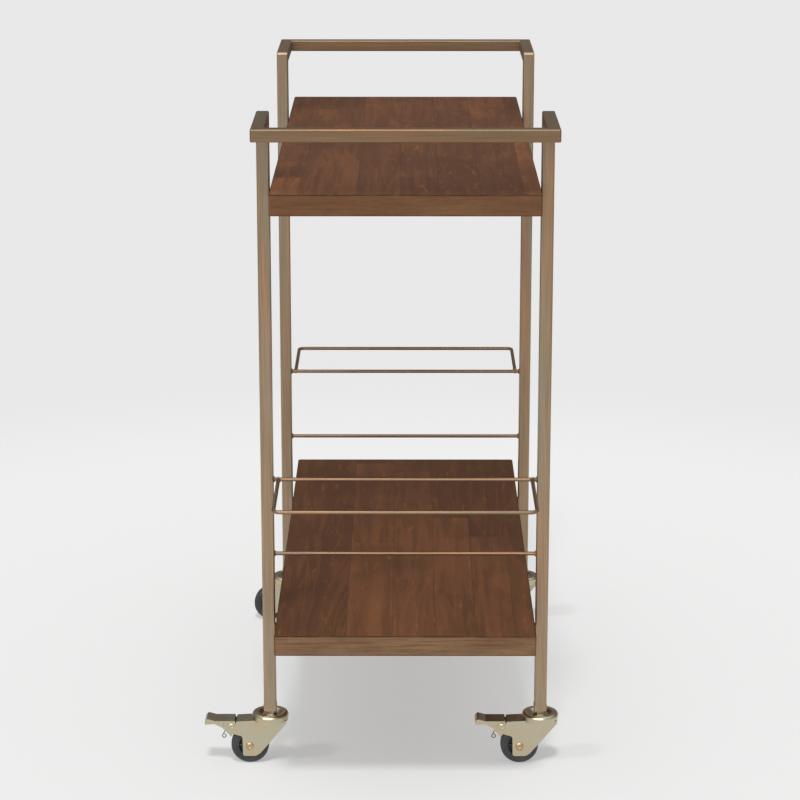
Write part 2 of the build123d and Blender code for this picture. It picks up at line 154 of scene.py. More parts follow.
class Shader(Tree):
    """A material's tree with one Principled shader."""

    def __init__(self, name, metallic=0.0, **constants):
        self.material = bpy.data.materials.new(name)
        self.material.use_nodes = True
        super().__init__(self.material.node_tree)
        self.tree.nodes.clear()
        self.shader = self.add("ShaderNodeBsdfPrincipled", {"Metallic": metallic})
        for key, value in constants.items():
            self.shader.inputs[key.replace("_", " ")].default_value = value
        self.surface = self.add("ShaderNodeOutputMaterial").inputs["Surface"]
        self.tree.links.new(self.shader.outputs[0], self.surface)
        self.place = self.add("ShaderNodeTexCoord").outputs["Object"]

    def join(self, output, key):
        """Joins an output to one of the shader's inputs."""
        self.tree.links.new(output, self.shader.inputs[key])

    def scaled(self, scale, place=None):
        """A place, or the object's coordinates, stretched by a scale for each axis."""
        return self.add("ShaderNodeMapping", {0: place or self.place, "Scale": scale}).outputs[0]

    def noise(self, place, detail=4.0, roughness=0.55, distortion=0.0):
        """A noise value between 0 and 1."""
        inputs = {0: place, "Detail": detail, "Roughness": roughness, "Distortion": distortion, "Scale": 1.0}
        return self.add("ShaderNodeTexNoise", inputs).outputs[0]

    def span(self, value, low, high, to_low=0.0, to_high=1.0):
        """A value mapped from one range to another, held at the ends."""
        inputs = {0: value, 1: low, 2: high, 3: to_low, 4: to_high}
        return self.add("ShaderNodeMapRange", inputs, interpolation_type="SMOOTHSTEP").outputs[0]

    def mix(self, factor, first, second, blend="MIX"):
        """Two colours mixed."""
        node = self.add("ShaderNodeMix", data_type="RGBA", blend_type=blend)
        for index, value in ((0, factor), (6, first), (7, second)):
            if isinstance(value, bpy.types.NodeSocket):
                self.tree.links.new(value, node.inputs[index])
            else:
                node.inputs[index].default_value = value
        return node.outputs[2]

    def bump(self, height, strength, distance):
        """Joins a bump made from a height to the shader."""
        node = self.add("ShaderNodeBump", {"Height": height, "Strength": strength, "Distance": distance})
        self.join(node.outputs[0], "Normal")


def rgb(colour, gain=1.0):
    """A linear colour with its alpha."""
    return (colour[0] * gain, colour[1] * gain, colour[2] * gain, 1.0)


def along(axis, run, across):
    """Scales for a pattern that is stretched along one axis."""
    return tuple(run if letter == axis else across for letter in "XYZ")


def bronze(axis):
    """Satin antique bronze over brushed tube, its streaks running along one axis; each direction gets its own
    copy darkened by a painted shade.
    """
    finish = bpy.context.scene.cart_frame
    s = Shader(f"satin_bronze_painted_shade_{axis.lower()}", metallic=0.9)
    patches = s.noise(s.scaled(along(axis, 3.0, 75.0)), detail=3.0, distortion=0.3)
    reds = s.noise(s.vector("ADD", s.scaled(along(axis, 3.0, 110.0)), (3.1, 7.7, 1.3)), detail=2.0)
    streaks = s.noise(s.scaled(along(axis, 14.0, 1500.0)), detail=2.0, roughness=0.5)
    colour = s.mix(s.span(patches, 0.3, 0.72), rgb(finish.bronze), rgb(finish.olive))
    colour = s.mix(s.span(reds, 0.45, 0.75), colour, rgb(finish.copper))
    tone = s.span(streaks, 0.3, 0.7, 0.84, 1.1)
    # Painted shade and painted reflection: the bars along X and the arms along Y are darkened by a tint for
    # their direction, standing in for their darker reflections.
    painted_axis_shades = {"X": finish.level_painted_shade, "Y": finish.arm_painted_shade, "Z": finish.upright_painted_shade}[axis]
    tones = {index: s.math("MULTIPLY", tone, tint) for index, tint in enumerate(painted_axis_shades)}
    shade = s.add("ShaderNodeCombineColor", tones).outputs[0]
    s.join(s.mix(1.0, colour, shade, "MULTIPLY"), "Base Color")
    s.join(s.span(patches, 0.25, 0.75, 0.34, 0.44), "Roughness")
    s.bump(streaks, 0.12, 0.05 * MM)
    return s.material


def walnut_top(seed):
    """Dark stained walnut staves with their grain along Y."""
    wood = bpy.context.scene.cart_shelves
    s = Shader(f"walnut_staves_{seed}", Specular_IOR_Level=0.06)
    moved = s.vector("ADD", s.place, (0.37 * seed, 1.9 * seed, 0.0))
    parts = s.add("ShaderNodeSeparateXYZ", {0: moved})
    wander = s.noise(s.scaled((1.5, 2.0, 1.0), moved), detail=1.0)
    bend = s.math("MULTIPLY", wander, 0.06)
    across = s.math("MULTIPLY_ADD", parts.outputs[0], 1.0 / wood.stave_width, bend)
    uneven = {"W": across, "Scale": 1.0, "Randomness": 0.7}
    staves = s.add("ShaderNodeTexVoronoi", uneven, voronoi_dimensions="1D")
    own = s.add("ShaderNodeSeparateColor", {0: staves.outputs["Color"]})
    edge = s.add("ShaderNodeTexVoronoi", uneven, voronoi_dimensions="1D", feature="DISTANCE_TO_EDGE")
    stagger = s.math("MULTIPLY", own.outputs[0], 9.0)
    lengthwise = s.math("MULTIPLY_ADD", parts.outputs[1], 1.0 / wood.stave_length, stagger)
    lengths = s.add("ShaderNodeTexVoronoi", {"W": lengthwise, "Scale": 1.0}, voronoi_dimensions="1D")
    tones = s.add("ShaderNodeSeparateColor", {0: lengths.outputs["Color"]})
    chosen = {0: staves.outputs["Color"], 1: tones.outputs[0]}
    tone = s.add("ShaderNodeTexWhiteNoise", chosen, noise_dimensions="4D")
    pick = s.add("ShaderNodeSeparateColor", {0: tone.outputs["Color"]})
    moves = {0: s.math("MULTIPLY", pick.outputs[0], 3.0), 1: s.math("MULTIPLY", pick.outputs[1], 5.0)}
    shift = s.add("ShaderNodeCombineXYZ", moves)
    grain_place = s.vector("ADD", moved, shift.outputs[0])
    grain = s.noise(s.scaled((70.0, 3.2, 70.0), grain_place), detail=7.0, roughness=0.62, distortion=0.8)
    figure = s.noise(s.scaled((16.0, 1.6, 16.0), grain_place), detail=2.0, distortion=1.6)
    rings = s.math("PINGPONG", s.math("MULTIPLY", figure, 9.0), 1.0)
    pores = s.noise(s.scaled((1300.0, 42.0, 1300.0), grain_place), detail=2.0)
    clouds = s.noise(s.scaled((6.0, 6.5, 6.0), moved), detail=3.0)
    flecks = s.noise(s.scaled((120.0, 22.0, 120.0), grain_place), detail=3.0, distortion=0.6)
    colour = s.mix(s.span(pick.outputs[2], 0.1, 0.9), rgb(wood.dark), rgb(wood.middle))
    colour = s.mix(s.span(pick.outputs[1], 0.72, 0.96, 0.0, 0.75), colour, rgb(wood.amber))
    colour = s.mix(s.math("MULTIPLY", s.span(grain, 0.36, 0.66), 0.6), colour, rgb(wood.dark, 0.72))
    colour = s.mix(s.math("MULTIPLY", s.span(rings, 0.55, 1.0), 0.22), colour, rgb(wood.amber, 0.9))
    colour = s.mix(s.math("MULTIPLY", s.span(clouds, 0.42, 0.7), 0.55), colour, rgb(wood.dark, 0.8))
    colour = s.mix(s.math("MULTIPLY", s.span(flecks, 0.6, 0.74), 0.3), colour, rgb(wood.amber, 1.25))
    colour = s.mix(s.math("MULTIPLY", s.span(pores, 0.60, 0.72), 0.45), colour, rgb(wood.dark, 0.35))
    seams = s.math("MULTIPLY", s.span(edge.outputs["Distance"], 0.0, 0.012, 1.0, 0.0), 0.5)
    colour = s.mix(seams, colour, rgb(wood.dark, 0.4))
    knot_place = s.scaled((11.0, 5.0, 11.0), moved)
    spots = s.add("ShaderNodeTexVoronoi", {0: knot_place, "Scale": 1.0, "Randomness": 1.0})
    knots = s.math("MULTIPLY", s.span(spots.outputs["Distance"], 0.02, 0.07, 1.0, 0.0), 0.7)
    colour = s.mix(knots, colour, rgb(wood.dark, 0.3))
    s.join(colour, "Base Color")
    s.join(s.span(grain, 0.3, 0.7, wood.roughness + 0.06, wood.roughness - 0.05), "Roughness")
    pits = s.math("MULTIPLY", s.span(pores, 0.6, 0.72), 0.7)
    relief = s.math("SUBTRACT", s.math("MULTIPLY", grain, 0.6), pits)
    s.bump(relief, 0.25, 0.12 * MM)
    return s.material


def walnut_end(seed):
    """The lipping on a shelf's ends: lighter, with its grain along X."""
    wood = bpy.context.scene.cart_shelves
    lipping = wood.upper_lipping if seed == 1 else wood.lower_lipping
    s = Shader(f"walnut_end_grain_{seed}", Specular_IOR_Level=0.06)
    moved = s.vector("ADD", s.place, (2.3 * seed, 0.0, 0.7 * seed))
    grain = s.noise(s.scaled((13.0, 13.0, 300.0), moved), detail=6.0, roughness=0.65, distortion=0.5)
    blots = s.noise(s.scaled((14.0, 14.0, 60.0), moved), detail=3.0)
    pores = s.noise(s.scaled((70.0, 70.0, 2200.0), moved), detail=2.0)
    colour = s.mix(s.span(blots, 0.3, 0.7), rgb(lipping), rgb(lipping, 0.78))
    colour = s.mix(s.math("MULTIPLY", s.span(grain, 0.42, 0.66), 0.75), colour, rgb(wood.dark, 1.05))
    colour = s.mix(s.math("MULTIPLY", s.span(pores, 0.58, 0.7), 0.5), colour, rgb(wood.dark, 0.5))
    s.join(colour, "Base Color")
    s.join(s.span(grain, 0.3, 0.7, wood.roughness + 0.08, wood.roughness), "Roughness")
    s.bump(grain, 0.25, 0.15 * MM)
    return s.material


def walnut_edge_painted_shade():
    """Painted shade: a darker colour along the eased edges, standing in for the shade where their rounding
    turns away from the light.
    """
    wood = bpy.context.scene.cart_shelves
    s = Shader("walnut_eased_edge_painted_shade", Specular_IOR_Level=0.06)
    shade_mottle = s.noise(s.scaled((60.0, 60.0, 400.0)), detail=4.0)
    # The edge colour is painted shade, varied by a noise.
    s.join(s.mix(s.span(shade_mottle, 0.4, 0.8), rgb(wood.dark, 0.45), rgb(wood.dark, 0.95)), "Base Color")
    s.join(s.span(shade_mottle, 0.3, 0.7, 0.5, 0.6), "Roughness")
    return s.material


def plated(name, first, second, low, high, grain=900.0, wear=0.25):
    """Bright plating over pressed steel: cloudy tints, fine press marks and varying gloss."""
    s = Shader(name, metallic=1.0)
    clouds = s.noise(s.scaled((45.0, 45.0, 45.0)), detail=1.5)
    marks = s.noise(s.scaled((grain, grain * 0.5, grain)), detail=3.0, roughness=0.6)
    colour = s.mix(s.span(clouds, 0.32, 0.68), rgb(first), rgb(second))
    s.join(s.mix(s.math("MULTIPLY", s.span(marks, 0.55, 0.8), wear), colour, rgb(second, 0.6)), "Base Color")
    s.join(s.span(clouds, 0.3, 0.7, low, high), "Roughness")
    s.bump(marks, wear * 0.2, 0.02 * MM)
    return s.material


def zinc():
    """Bright zinc plating with a warm passivated tint."""
    return plated("bright_zinc", (0.555, 0.475, 0.325), (0.53, 0.49, 0.36), 0.25, 0.31, 160.0, 0.03)


def yellow_zinc():
    """Yellow passivated rivets."""
    return plated("yellow_zinc", (0.60, 0.43, 0.24), (0.44, 0.30, 0.16), 0.25, 0.4)


def steel():
    """Plain steel for nuts, stems, screws and balls."""
    return plated("plain_steel", (0.5, 0.49, 0.46), (0.42, 0.41, 0.39), 0.24, 0.38)


def spring_wire():
    """Dark spring wire."""
    return plated("spring_wire", (0.16, 0.15, 0.135), (0.11, 0.105, 0.1), 0.3, 0.45)


def moulded(name, colour, low, high, grain):
    """Rubber or plastic straight from the mould, with a fine matt texture and dust."""
    s = Shader(name)
    speck = s.noise(s.scaled((grain, grain, grain)), detail=3.0)
    dust = s.noise(s.scaled((60.0, 60.0, 60.0)), detail=4.0, distortion=0.4)
    s.join(s.mix(s.span(dust, 0.45, 0.85), rgb(colour), rgb(colour, 1.9)), "Base Color")
    s.join(s.span(dust, 0.3, 0.7, low, high), "Roughness")
    s.bump(speck, 0.2, 0.06 * MM)
    return s.material


def tyre_rubber():
    """Satin black rubber."""
    return moulded("tyre_rubber", bpy.context.scene.cart_casters.rubber, 0.42, 0.58, 1400.0)


def hub_plastic():
    """Black moulded hub."""
    return moulded("hub_plastic", (0.022, 0.022, 0.024), 0.32, 0.45, 900.0)


_made = {}


def material(maker, *values):
    """Each material is made once and shared."""
    key = (maker.__name__, *values)
    if key not in _made:
        _made[key] = maker(*values)
    return _made[key]


# --- Making meshes ------------------------------------------------------------------------------


def new_piece(name, mesh, body, slot, *nodes):
    """Links a finished mesh as a piece that rides on a body and stands for CAD nodes."""
    mesh.name = name
    piece = bpy.data.objects.new(name, mesh)
    bpy.context.scene.collection.objects.link(piece)
    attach(piece, body)
    if nodes:
        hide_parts(*nodes)
    return piece


def evaluated(thing):
    """A plain mesh of an object's evaluated geometry; the object and its modifiers are removed."""
    bpy.context.view_layer.update()
    graph = bpy.context.evaluated_depsgraph_get()
    source = thing.evaluated_get(graph)
    mesh = bpy.data.meshes.new_from_object(source, preserve_all_data_layers=True, depsgraph=graph)
    old = thing.data
    bpy.data.objects.remove(thing)
    bpy.data.meshes.remove(old)
    return mesh


def grown(tree, inputs, points=(), edges=()):
    """A mesh grown by a geometry tree from points and edges, with the tree's named inputs set."""
    seed = bpy.data.meshes.new("seed")
    seed.from_pydata([tuple(point) for point in points], list(edges), [])
    thing = bpy.data.objects.new("seed", seed)
    bpy.context.scene.collection.objects.link(thing)
    modifier = thing.modifiers.new("grow", "NODES")
    modifier.node_group = tree
    sockets = {item.name: item.identifier for item in tree.interface.items_tree if item.in_out == "INPUT"}
    for name, value in inputs.items():
        modifier[sockets[name]] = value
    return evaluated(thing)


def joined(meshes):
    """Several meshes as one, keeping their materials."""
    body = bmesh.new()
    slots = []
    for mesh in meshes:
        start = len(body.faces)
        body.from_mesh(mesh)
        body.faces.ensure_lookup_table()
        for face in body.faces[start:]:
            own = mesh.materials[face.material_index] if len(mesh.materials) else None
            if own not in slots:
                slots.append(own)
            face.material_index = slots.index(own)
        bpy.data.meshes.remove(mesh)
    whole = bpy.data.meshes.new("joined")
    body.to_mesh(whole)
    body.free()
    for slot in slots:
        whole.materials.append(slot)
    return whole


def shaded(mesh, angle=32.0):
    """Smooth shading, with edges sharper than the angle kept crisp."""
    mesh.shade_smooth()
    mesh.set_sharp_from_angle(angle=math.radians(angle))
    return mesh


def placed(mesh, matrix):
    """The mesh moved into place."""
    mesh.transform(matrix)
    if matrix.to_3x3().determinant() < 0:
        mesh.flip_normals()
    return mesh


def softened(mesh, width, segments=2, angle=34.0):
    """The mesh with its sharp edges rounded and its flats kept flat."""
    body = bmesh.new()
    body.from_mesh(mesh)
    bmesh.ops.remove_doubles(body, verts=body.verts, dist=1e-6)
    flat = math.radians(0.6)
    bmesh.ops.dissolve_limit(body, angle_limit=flat, verts=body.verts, edges=body.edges, delimit={"MATERIAL"})
    body.to_mesh(mesh)
    body.free()
    mesh.shade_smooth()
    thing = bpy.data.objects.new("soft", mesh)
    bpy.context.scene.collection.objects.link(thing)
    bevel = thing.modifiers.new("bevel", "BEVEL")
    bevel.width = width
    bevel.segments = segments
    bevel.limit_method = "ANGLE"
    bevel.angle_limit = math.radians(angle)
    bevel.use_clamp_overlap = True
    bevel.harden_normals = False
    weighted = thing.modifiers.new("weighted", "WEIGHTED_NORMAL")
    weighted.keep_sharp = True
    return evaluated(thing)


def cad_copy(node, finish):
    """A copy of a CAD node's mesh with one material."""
    mesh = frame["nodes"][node].data.copy()
    mesh.materials.clear()
    mesh.materials.append(finish)
    for name in [layer.name for layer in mesh.uv_layers]:
        mesh.uv_layers.remove(mesh.uv_layers[name])
    return mesh


def arc_corners(corners, steps=5):
    """A closed outline's points, with each corner (x, y, radius) turned into an arc."""
    points = []
    count = len(corners)
    for index, (x, y, radius) in enumerate(corners):
        corner = Vector((x, y))
        if radius <= 0:
            points.append(corner)
            continue
        before = (Vector(corners[index - 1][:2]) - corner).normalized()
        after = (Vector(corners[(index + 1) % count][:2]) - corner).normalized()
        half = before.angle(after) / 2
        middle = corner + (before + after).normalized() * (radius / math.sin(half))
        first = corner + before * (radius / math.tan(half)) - middle
        last = corner + after * (radius / math.tan(half)) - middle
        turn = first.angle_signed(last)
        for step in range(steps + 1):
            spin = Matrix.Rotation(-turn * step / steps, 2)
            points.append(middle + spin @ first)
    return points


def lathed(corners, finish, steps=64, arc_steps=5):
    """A ring or disc turned about Z from a closed outline of (radius, height, corner radius)."""
    outline = arc_corners(corners, arc_steps)
    body = bmesh.new()
    rings = []
    for step in range(steps):
        turn = Matrix.Rotation(2 * math.pi * step / steps, 3, "Z")
        rings.append([body.verts.new(turn @ Vector((max(point.x, 0), 0, point.y))) for point in outline])
    for step, ring in enumerate(rings):
        beside = rings[(step + 1) % steps]
        for index in range(len(outline)):
            following = (index + 1) % len(outline)
            if outline[index].x < 1e-7 and outline[following].x < 1e-7:
                continue
            body.faces.new((ring[index], beside[index], beside[following], ring[following]))
    bmesh.ops.remove_doubles(body, verts=body.verts, dist=1e-7)
    bmesh.ops.dissolve_degenerate(body, dist=1e-8, edges=body.edges)
    bmesh.ops.recalc_face_normals(body, faces=body.faces)
    mesh = bpy.data.meshes.new("lathed")
    body.to_mesh(mesh)
    body.free()
    mesh.materials.append(finish)
    return shaded(mesh)


# --- Geometry trees -----------------------------------------------------------------------------


def geometry_tree(name, inputs):
    """A new geometry tree with named inputs; returns its helper, input sockets and a closing call."""
    tree = bpy.data.node_groups.new(name, "GeometryNodeTree")
    tree.is_modifier = True
    tree.interface.new_socket("Geometry", in_out="INPUT", socket_type="NodeSocketGeometry")
    for label, (kind, value) in inputs.items():
        socket = tree.interface.new_socket(label, in_out="INPUT", socket_type=f"NodeSocket{kind}")
        if value is not None:
            socket.default_value = value
    tree.interface.new_socket("Geometry", in_out="OUTPUT", socket_type="NodeSocketGeometry")
    helper = Tree(tree)
    entry = helper.add("NodeGroupInput").outputs
    leave = helper.add("NodeGroupOutput")

    def close(geometry):
        """Ends the tree in Realize Instances and Set Material."""
        real = helper.add("GeometryNodeRealizeInstances", {0: geometry}).outputs[0]
        finish = helper.add("GeometryNodeSetMaterial", {"Geometry": real, "Material": entry["Finish"]})
        tree.links.new(finish.outputs[0], leave.inputs[0])
        return tree

    return helper, entry, close


def square_tube_tree():
    """A square tube standing on the origin, each end cut on a slope to make a mitre."""
    t, entry, close = geometry_tree(
        "Square tube",
        {
            "Width": ("Float", TUBE),
            "Corner radius": ("Float", 1.6 * MM),
            "Corner steps": ("Int", 5),
            "Length": ("Float", 0.3),
            "Start slope X": ("Float", 0.0),
            "Start slope Y": ("Float", 0.0),
            "End slope X": ("Float", 0.0),
            "End slope Y": ("Float", 0.0),
            "Finish": ("Material", None),
        },
    )
    sides = {"Width": entry["Width"], "Height": entry["Width"]}
    square = t.add("GeometryNodeCurvePrimitiveQuadrilateral", sides)
    profile = t.add(
        "GeometryNodeFilletCurve",
        {"Curve": square.outputs[0], "Radius": entry["Corner radius"], "Count": entry["Corner steps"]},
        mode="POLY",
    )
    top = t.add("ShaderNodeCombineXYZ", {2: entry["Length"]})
    line = t.add("GeometryNodeCurvePrimitiveLine", {"End": top.outputs[0]})
    tube = t.add("GeometryNodeCurveToMesh", {0: line.outputs[0], 1: profile.outputs[0], "Fill Caps": True})
    place = t.add("GeometryNodeInputPosition").outputs[0]
    axes = t.add("ShaderNodeSeparateXYZ", {0: place}).outputs
    upper = t.math("GREATER_THAN", axes[2], t.math("MULTIPLY", entry["Length"], 0.5))
    lower = t.math("SUBTRACT", 1.0, upper)
    rises = []
    for label in ("Start", "End"):
        by_y = t.math("MULTIPLY", axes[1], entry[f"{label} slope Y"])
        rises.append(t.math("MULTIPLY_ADD", axes[0], entry[f"{label} slope X"], by_y))
    start_rise, end_rise = rises
    rise = t.math("MULTIPLY_ADD", upper, end_rise, t.math("MULTIPLY", lower, start_rise))
    offset = t.add("ShaderNodeCombineXYZ", {2: rise})
    moved = t.add("GeometryNodeSetPosition", {"Geometry": tube.outputs[0], "Offset": offset.outputs[0]})
    return close(moved.outputs[0])


def bent_rod_tree():
    """A round rod along the edges it is given, its corners bent to a radius."""
    t, entry, close = geometry_tree(
        "Bent rod",
        {
            "Diameter": ("Float", ROD),
            "Bend radius": ("Float", 8 * MM),
            "Bend steps": ("Int", 10),
            "Sides": ("Int", 20),
            "Finish": ("Material", None),
        },
    )
    path = t.add("GeometryNodeMeshToCurve", {0: entry["Geometry"]})
    bends = {"Radius": entry["Bend radius"], "Limit Radius": True, "Count": entry["Bend steps"]}
    bent = t.add("GeometryNodeFilletCurve", {"Curve": path.outputs[0], **bends}, mode="POLY")
    radius = t.math("MULTIPLY", entry["Diameter"], 0.5)
    section = t.add("GeometryNodeCurvePrimitiveCircle", {"Resolution": entry["Sides"], "Radius": radius})
    rod = t.add("GeometryNodeCurveToMesh", {0: bent.outputs[0], 1: section.outputs[0], "Fill Caps": True})
    return close(rod.outputs[0])


def weld_tree():
    """A ring of overlapping weld beads round X at each point it is given."""
    t, entry, close = geometry_tree(
        "Weld rings",
        {
            "Ring radius": ("Float", 2.9 * MM),
            "Bead radius": ("Float", 1.3 * MM),
            "Beads": ("Int", 10),
            "Seed": ("Int", 4),
            "Finish": ("Material", None),
        },
    )
    ring = t.add("GeometryNodeMeshCircle", {"Vertices": entry["Beads"], "Radius": entry["Ring radius"]})
    upright = t.add("GeometryNodeTransform", {0: ring.outputs[0], "Rotation": (0, math.pi / 2, 0)})
    standing = {"Points": entry["Geometry"], "Instance": upright.outputs[0]}
    rings = t.add("GeometryNodeInstanceOnPoints", standing)
    places = t.add("GeometryNodeRealizeInstances", {0: rings.outputs[0]})
    bead = t.add("GeometryNodeMeshIcoSphere", {"Radius": entry["Bead radius"], "Subdivisions": 2})
    size = t.add(
        "FunctionNodeRandomValue",
        {0: (0.75, 0.8, 0.8), 1: (1.0, 1.2, 1.2), "Seed": entry["Seed"]},
        data_type="FLOAT_VECTOR",
    )
    turn = t.add(
        "FunctionNodeRandomValue",
        {0: (0, 0, 0), 1: (0.6, 0.6, 0.6), "Seed": entry["Seed"]},
        data_type="FLOAT_VECTOR",
    )
    laid = {"Points": places.outputs[0], "Instance": bead.outputs[0]}
    varied = {"Scale": size.outputs[0], "Rotation": turn.outputs[0]}
    beads = t.add("GeometryNodeInstanceOnPoints", {**laid, **varied})
    return close(beads.outputs[0])


def screw_tree():
    """A cross-head screw pointing up from each point it is given."""
    t, entry, close = geometry_tree(
        "Shelf screws",
        {
            "Head radius": ("Float", SCREW_HEAD_RADIUS),
            "Head height": ("Float", 2.8 * MM),
            "Shank radius": ("Float", 2.1 * MM),
            "Shank length": ("Float", 34 * MM),
            "Finish": ("Material", None),
        },
    )
    dome = t.add("GeometryNodeMeshUVSphere", {"Segments": 32, "Rings": 16, "Radius": entry["Head radius"]})
    flatness = t.math("DIVIDE", entry["Head height"], entry["Head radius"])
    squash = t.add("ShaderNodeCombineXYZ", {0: 1.0, 1: 1.0, 2: flatness})
    head = t.add("GeometryNodeTransform", {0: dome.outputs[0], "Scale": squash.outputs[0]})
    wide = t.math("MULTIPLY", entry["Head radius"], 1.15)
    narrow = t.math("MULTIPLY", entry["Head radius"], 0.26)
    depth = t.math("MULTIPLY", entry["Head height"], 1.1)
    low = t.add("ShaderNodeCombineXYZ", {2: t.math("MULTIPLY", entry["Head height"], -1.05)})
    flat = t.math("MULTIPLY", entry["Head radius"], 3.0)
    tall = t.math("MULTIPLY", entry["Head height"], 2.0)
    top_size = t.add("ShaderNodeCombineXYZ", {0: flat, 1: flat, 2: tall})
    top_place = t.add("ShaderNodeCombineXYZ", {2: entry["Head height"]})
    cutters = []
    for size in ((wide, narrow, depth), (narrow, wide, depth)):
        block = t.add("ShaderNodeCombineXYZ", dict(enumerate(size)))
        cube = t.add("GeometryNodeMeshCube", {"Size": block.outputs[0]})
        cutters.append(t.add("GeometryNodeTransform", {0: cube.outputs[0], "Translation": low.outputs[0]}))
    lid = t.add("GeometryNodeMeshCube", {"Size": top_size.outputs[0]})
    cutters.append(t.add("GeometryNodeTransform", {0: lid.outputs[0], "Translation": top_place.outputs[0]}))
    cut = head.outputs[0]
    for cutter in cutters:
        pair = {"Mesh 1": cut, "Mesh 2": cutter.outputs[0]}
        cut = t.add("GeometryNodeMeshBoolean", pair, operation="DIFFERENCE").outputs[0]
    half = t.math("MULTIPLY", entry["Shank length"], 0.5)
    bar = {"Vertices": 20, "Radius": entry["Shank radius"], "Depth": entry["Shank length"]}
    shank = t.add("GeometryNodeMeshCylinder", bar)
    middle = t.add("ShaderNodeCombineXYZ", {2: half})
    raised = t.add("GeometryNodeTransform", {0: shank.outputs[0], "Translation": middle.outputs[0]})
    both = t.add("GeometryNodeJoinGeometry")
    t.tree.links.new(cut, both.inputs[0])
    t.tree.links.new(raised.outputs[0], both.inputs[0])
    screws = t.add("GeometryNodeInstanceOnPoints", {"Points": entry["Geometry"], "Instance": both.outputs[0]})
    return close(screws.outputs[0])


def ball_ring_tree():
    """A ring of balls round each point it is given."""
    t, entry, close = geometry_tree(
        "Ball ring",
        {
            "Ring radius": ("Float", 18.5 * MM),
            "Ball radius": ("Float", 3 * MM),
            "Balls": ("Int", 16),
            "Finish": ("Material", None),
        },
    )
    ring = t.add("GeometryNodeMeshCircle", {"Vertices": entry["Balls"], "Radius": entry["Ring radius"]})
    ball = t.add("GeometryNodeMeshUVSphere", {"Segments": 16, "Rings": 10, "Radius": entry["Ball radius"]})
    balls = t.add("GeometryNodeInstanceOnPoints", {"Points": ring.outputs[0], "Instance": ball.outputs[0]})
    rings = t.add("GeometryNodeInstanceOnPoints", {"Points": entry["Geometry"], "Instance": balls.outputs[0]})
    return close(rings.outputs[0])


def rib_tree():
    """Flat ribs standing round Z, between a boss and a rim."""
    t, entry, close = geometry_tree(
        "Hub ribs",
        {
            "Ribs": ("Int", 6),
            "Inner radius": ("Float", 6 * MM),
            "Outer radius": ("Float", 15 * MM),
            "Thickness": ("Float", 1.6 * MM),
            "Height": ("Float", 12 * MM),
            "Finish": ("Material", None),
        },
    )
    middle = t.math("MULTIPLY", t.math("ADD", entry["Inner radius"], entry["Outer radius"]), 0.5)
    reach = t.math("SUBTRACT", entry["Outer radius"], entry["Inner radius"])
    ring = t.add("GeometryNodeMeshCircle", {"Vertices": entry["Ribs"], "Radius": middle})
    size = t.add("ShaderNodeCombineXYZ", {0: reach, 1: entry["Thickness"], 2: entry["Height"]})
    rib = t.add("GeometryNodeMeshCube", {"Size": size.outputs[0]})
    place = t.add("GeometryNodeInputPosition").outputs[0]
    facing = t.add("FunctionNodeAlignRotationToVector", {"Vector": place}, axis="X", pivot_axis="Z")
    ribs = t.add(
        "GeometryNodeInstanceOnPoints",
        {"Points": ring.outputs[0], "Instance": rib.outputs[0], "Rotation": facing.outputs[0]},
    )
    return close(ribs.outputs[0])


# --- Frame pieces -------------------------------------------------------------------------------


def tube_axes(start, end):
    """A matrix that stands a tube on start, pointing to end, with its sides square to the axes."""
    z = (end - start).normalized()
    x = Vector((1, 0, 0)) if abs(z.z) > 0.5 else Vector((0, 0, 1))
    matrix = Matrix((x, z.cross(x), z)).transposed().to_4x4()
    matrix.translation = start
    return matrix


def ease_end(mesh, outer, end, way, radius):
    """Rounds a mitred end where its outer side meets the next tube."""
    body = bmesh.new()
    body.from_mesh(mesh)
    inside = TUBE / 2 - radius
    for step in range(5):
        rise = inside + radius * math.tan(math.pi / 4 * step / 5)
        place = Vector((0, 0, end + way * rise))
        everything = body.verts[:] + body.edges[:] + body.faces[:]
        bmesh.ops.bisect_plane(body, geom=everything, plane_co=place, plane_no=(0, 0, 1), dist=1e-7)
    for vert in body.verts:
        across = vert.co.dot(outer) - inside
        rise = (vert.co.z - end) * way - inside
        if across > 1e-7 and rise > 1e-7:
            turn = math.atan2(rise, across)
            vert.co += outer * (across * math.cos(turn) - across)
            vert.co.z = end + way * (inside + across * math.sin(turn))
    body.to_mesh(mesh)
    body.free()


def tube_run(tree, points, corner, roundings=()):
    """A tube for each straight of a path, mitred to the next at a rounded corner, in order."""
    meshes = []
    ways = [(after - before).normalized() for before, after in zip(points, points[1:])]
    for index, way in enumerate(ways):
        matrix = tube_axes(points[index], points[index + 1])
        cuts = {}
        for label, other in (("Start", index - 1), ("End", index + 1)):
            joint = way + ways[other] if 0 <= other < len(ways) else way
            for axis, column in (("X", 0), ("Y", 1)):
                side = matrix.col[column].to_3d()
                cuts[f"{label} slope {axis}"] = -side.dot(joint) / way.dot(joint)
        # The tube's direction picks the bronze copy with the painted shade for that direction.
        letter = "XYZ"[max(range(3), key=lambda i: abs(way[i]))]
        inputs = {"Length": (points[index + 1] - points[index]).length, "Corner radius": corner, **cuts}
        mesh = grown(tree, {**inputs, "Finish": material(bronze, letter)})
        both_ends = (("Start", index - 1, 0.0, -1), ("End", index, inputs["Length"], 1))
        for label, joint, end, way_out in both_ends:
            if 0 <= joint < len(roundings):
                slope = Vector((cuts[f"{label} slope X"], cuts[f"{label} slope Y"], 0))
                ease_end(mesh, slope.normalized() * way_out, end, way_out, roundings[joint])
        meshes.append(shaded_flats(placed(mesh, matrix)))
    return meshes


def shaded_flats(mesh):
    """Smooth corners and truly flat sides."""
    shaded(mesh, 40.0)
    thing = bpy.data.objects.new("flats", mesh)
    bpy.context.scene.collection.objects.link(thing)
    weighted = thing.modifiers.new("weighted", "WEIGHTED_NORMAL")
    weighted.keep_sharp = True
    return evaluated(thing)


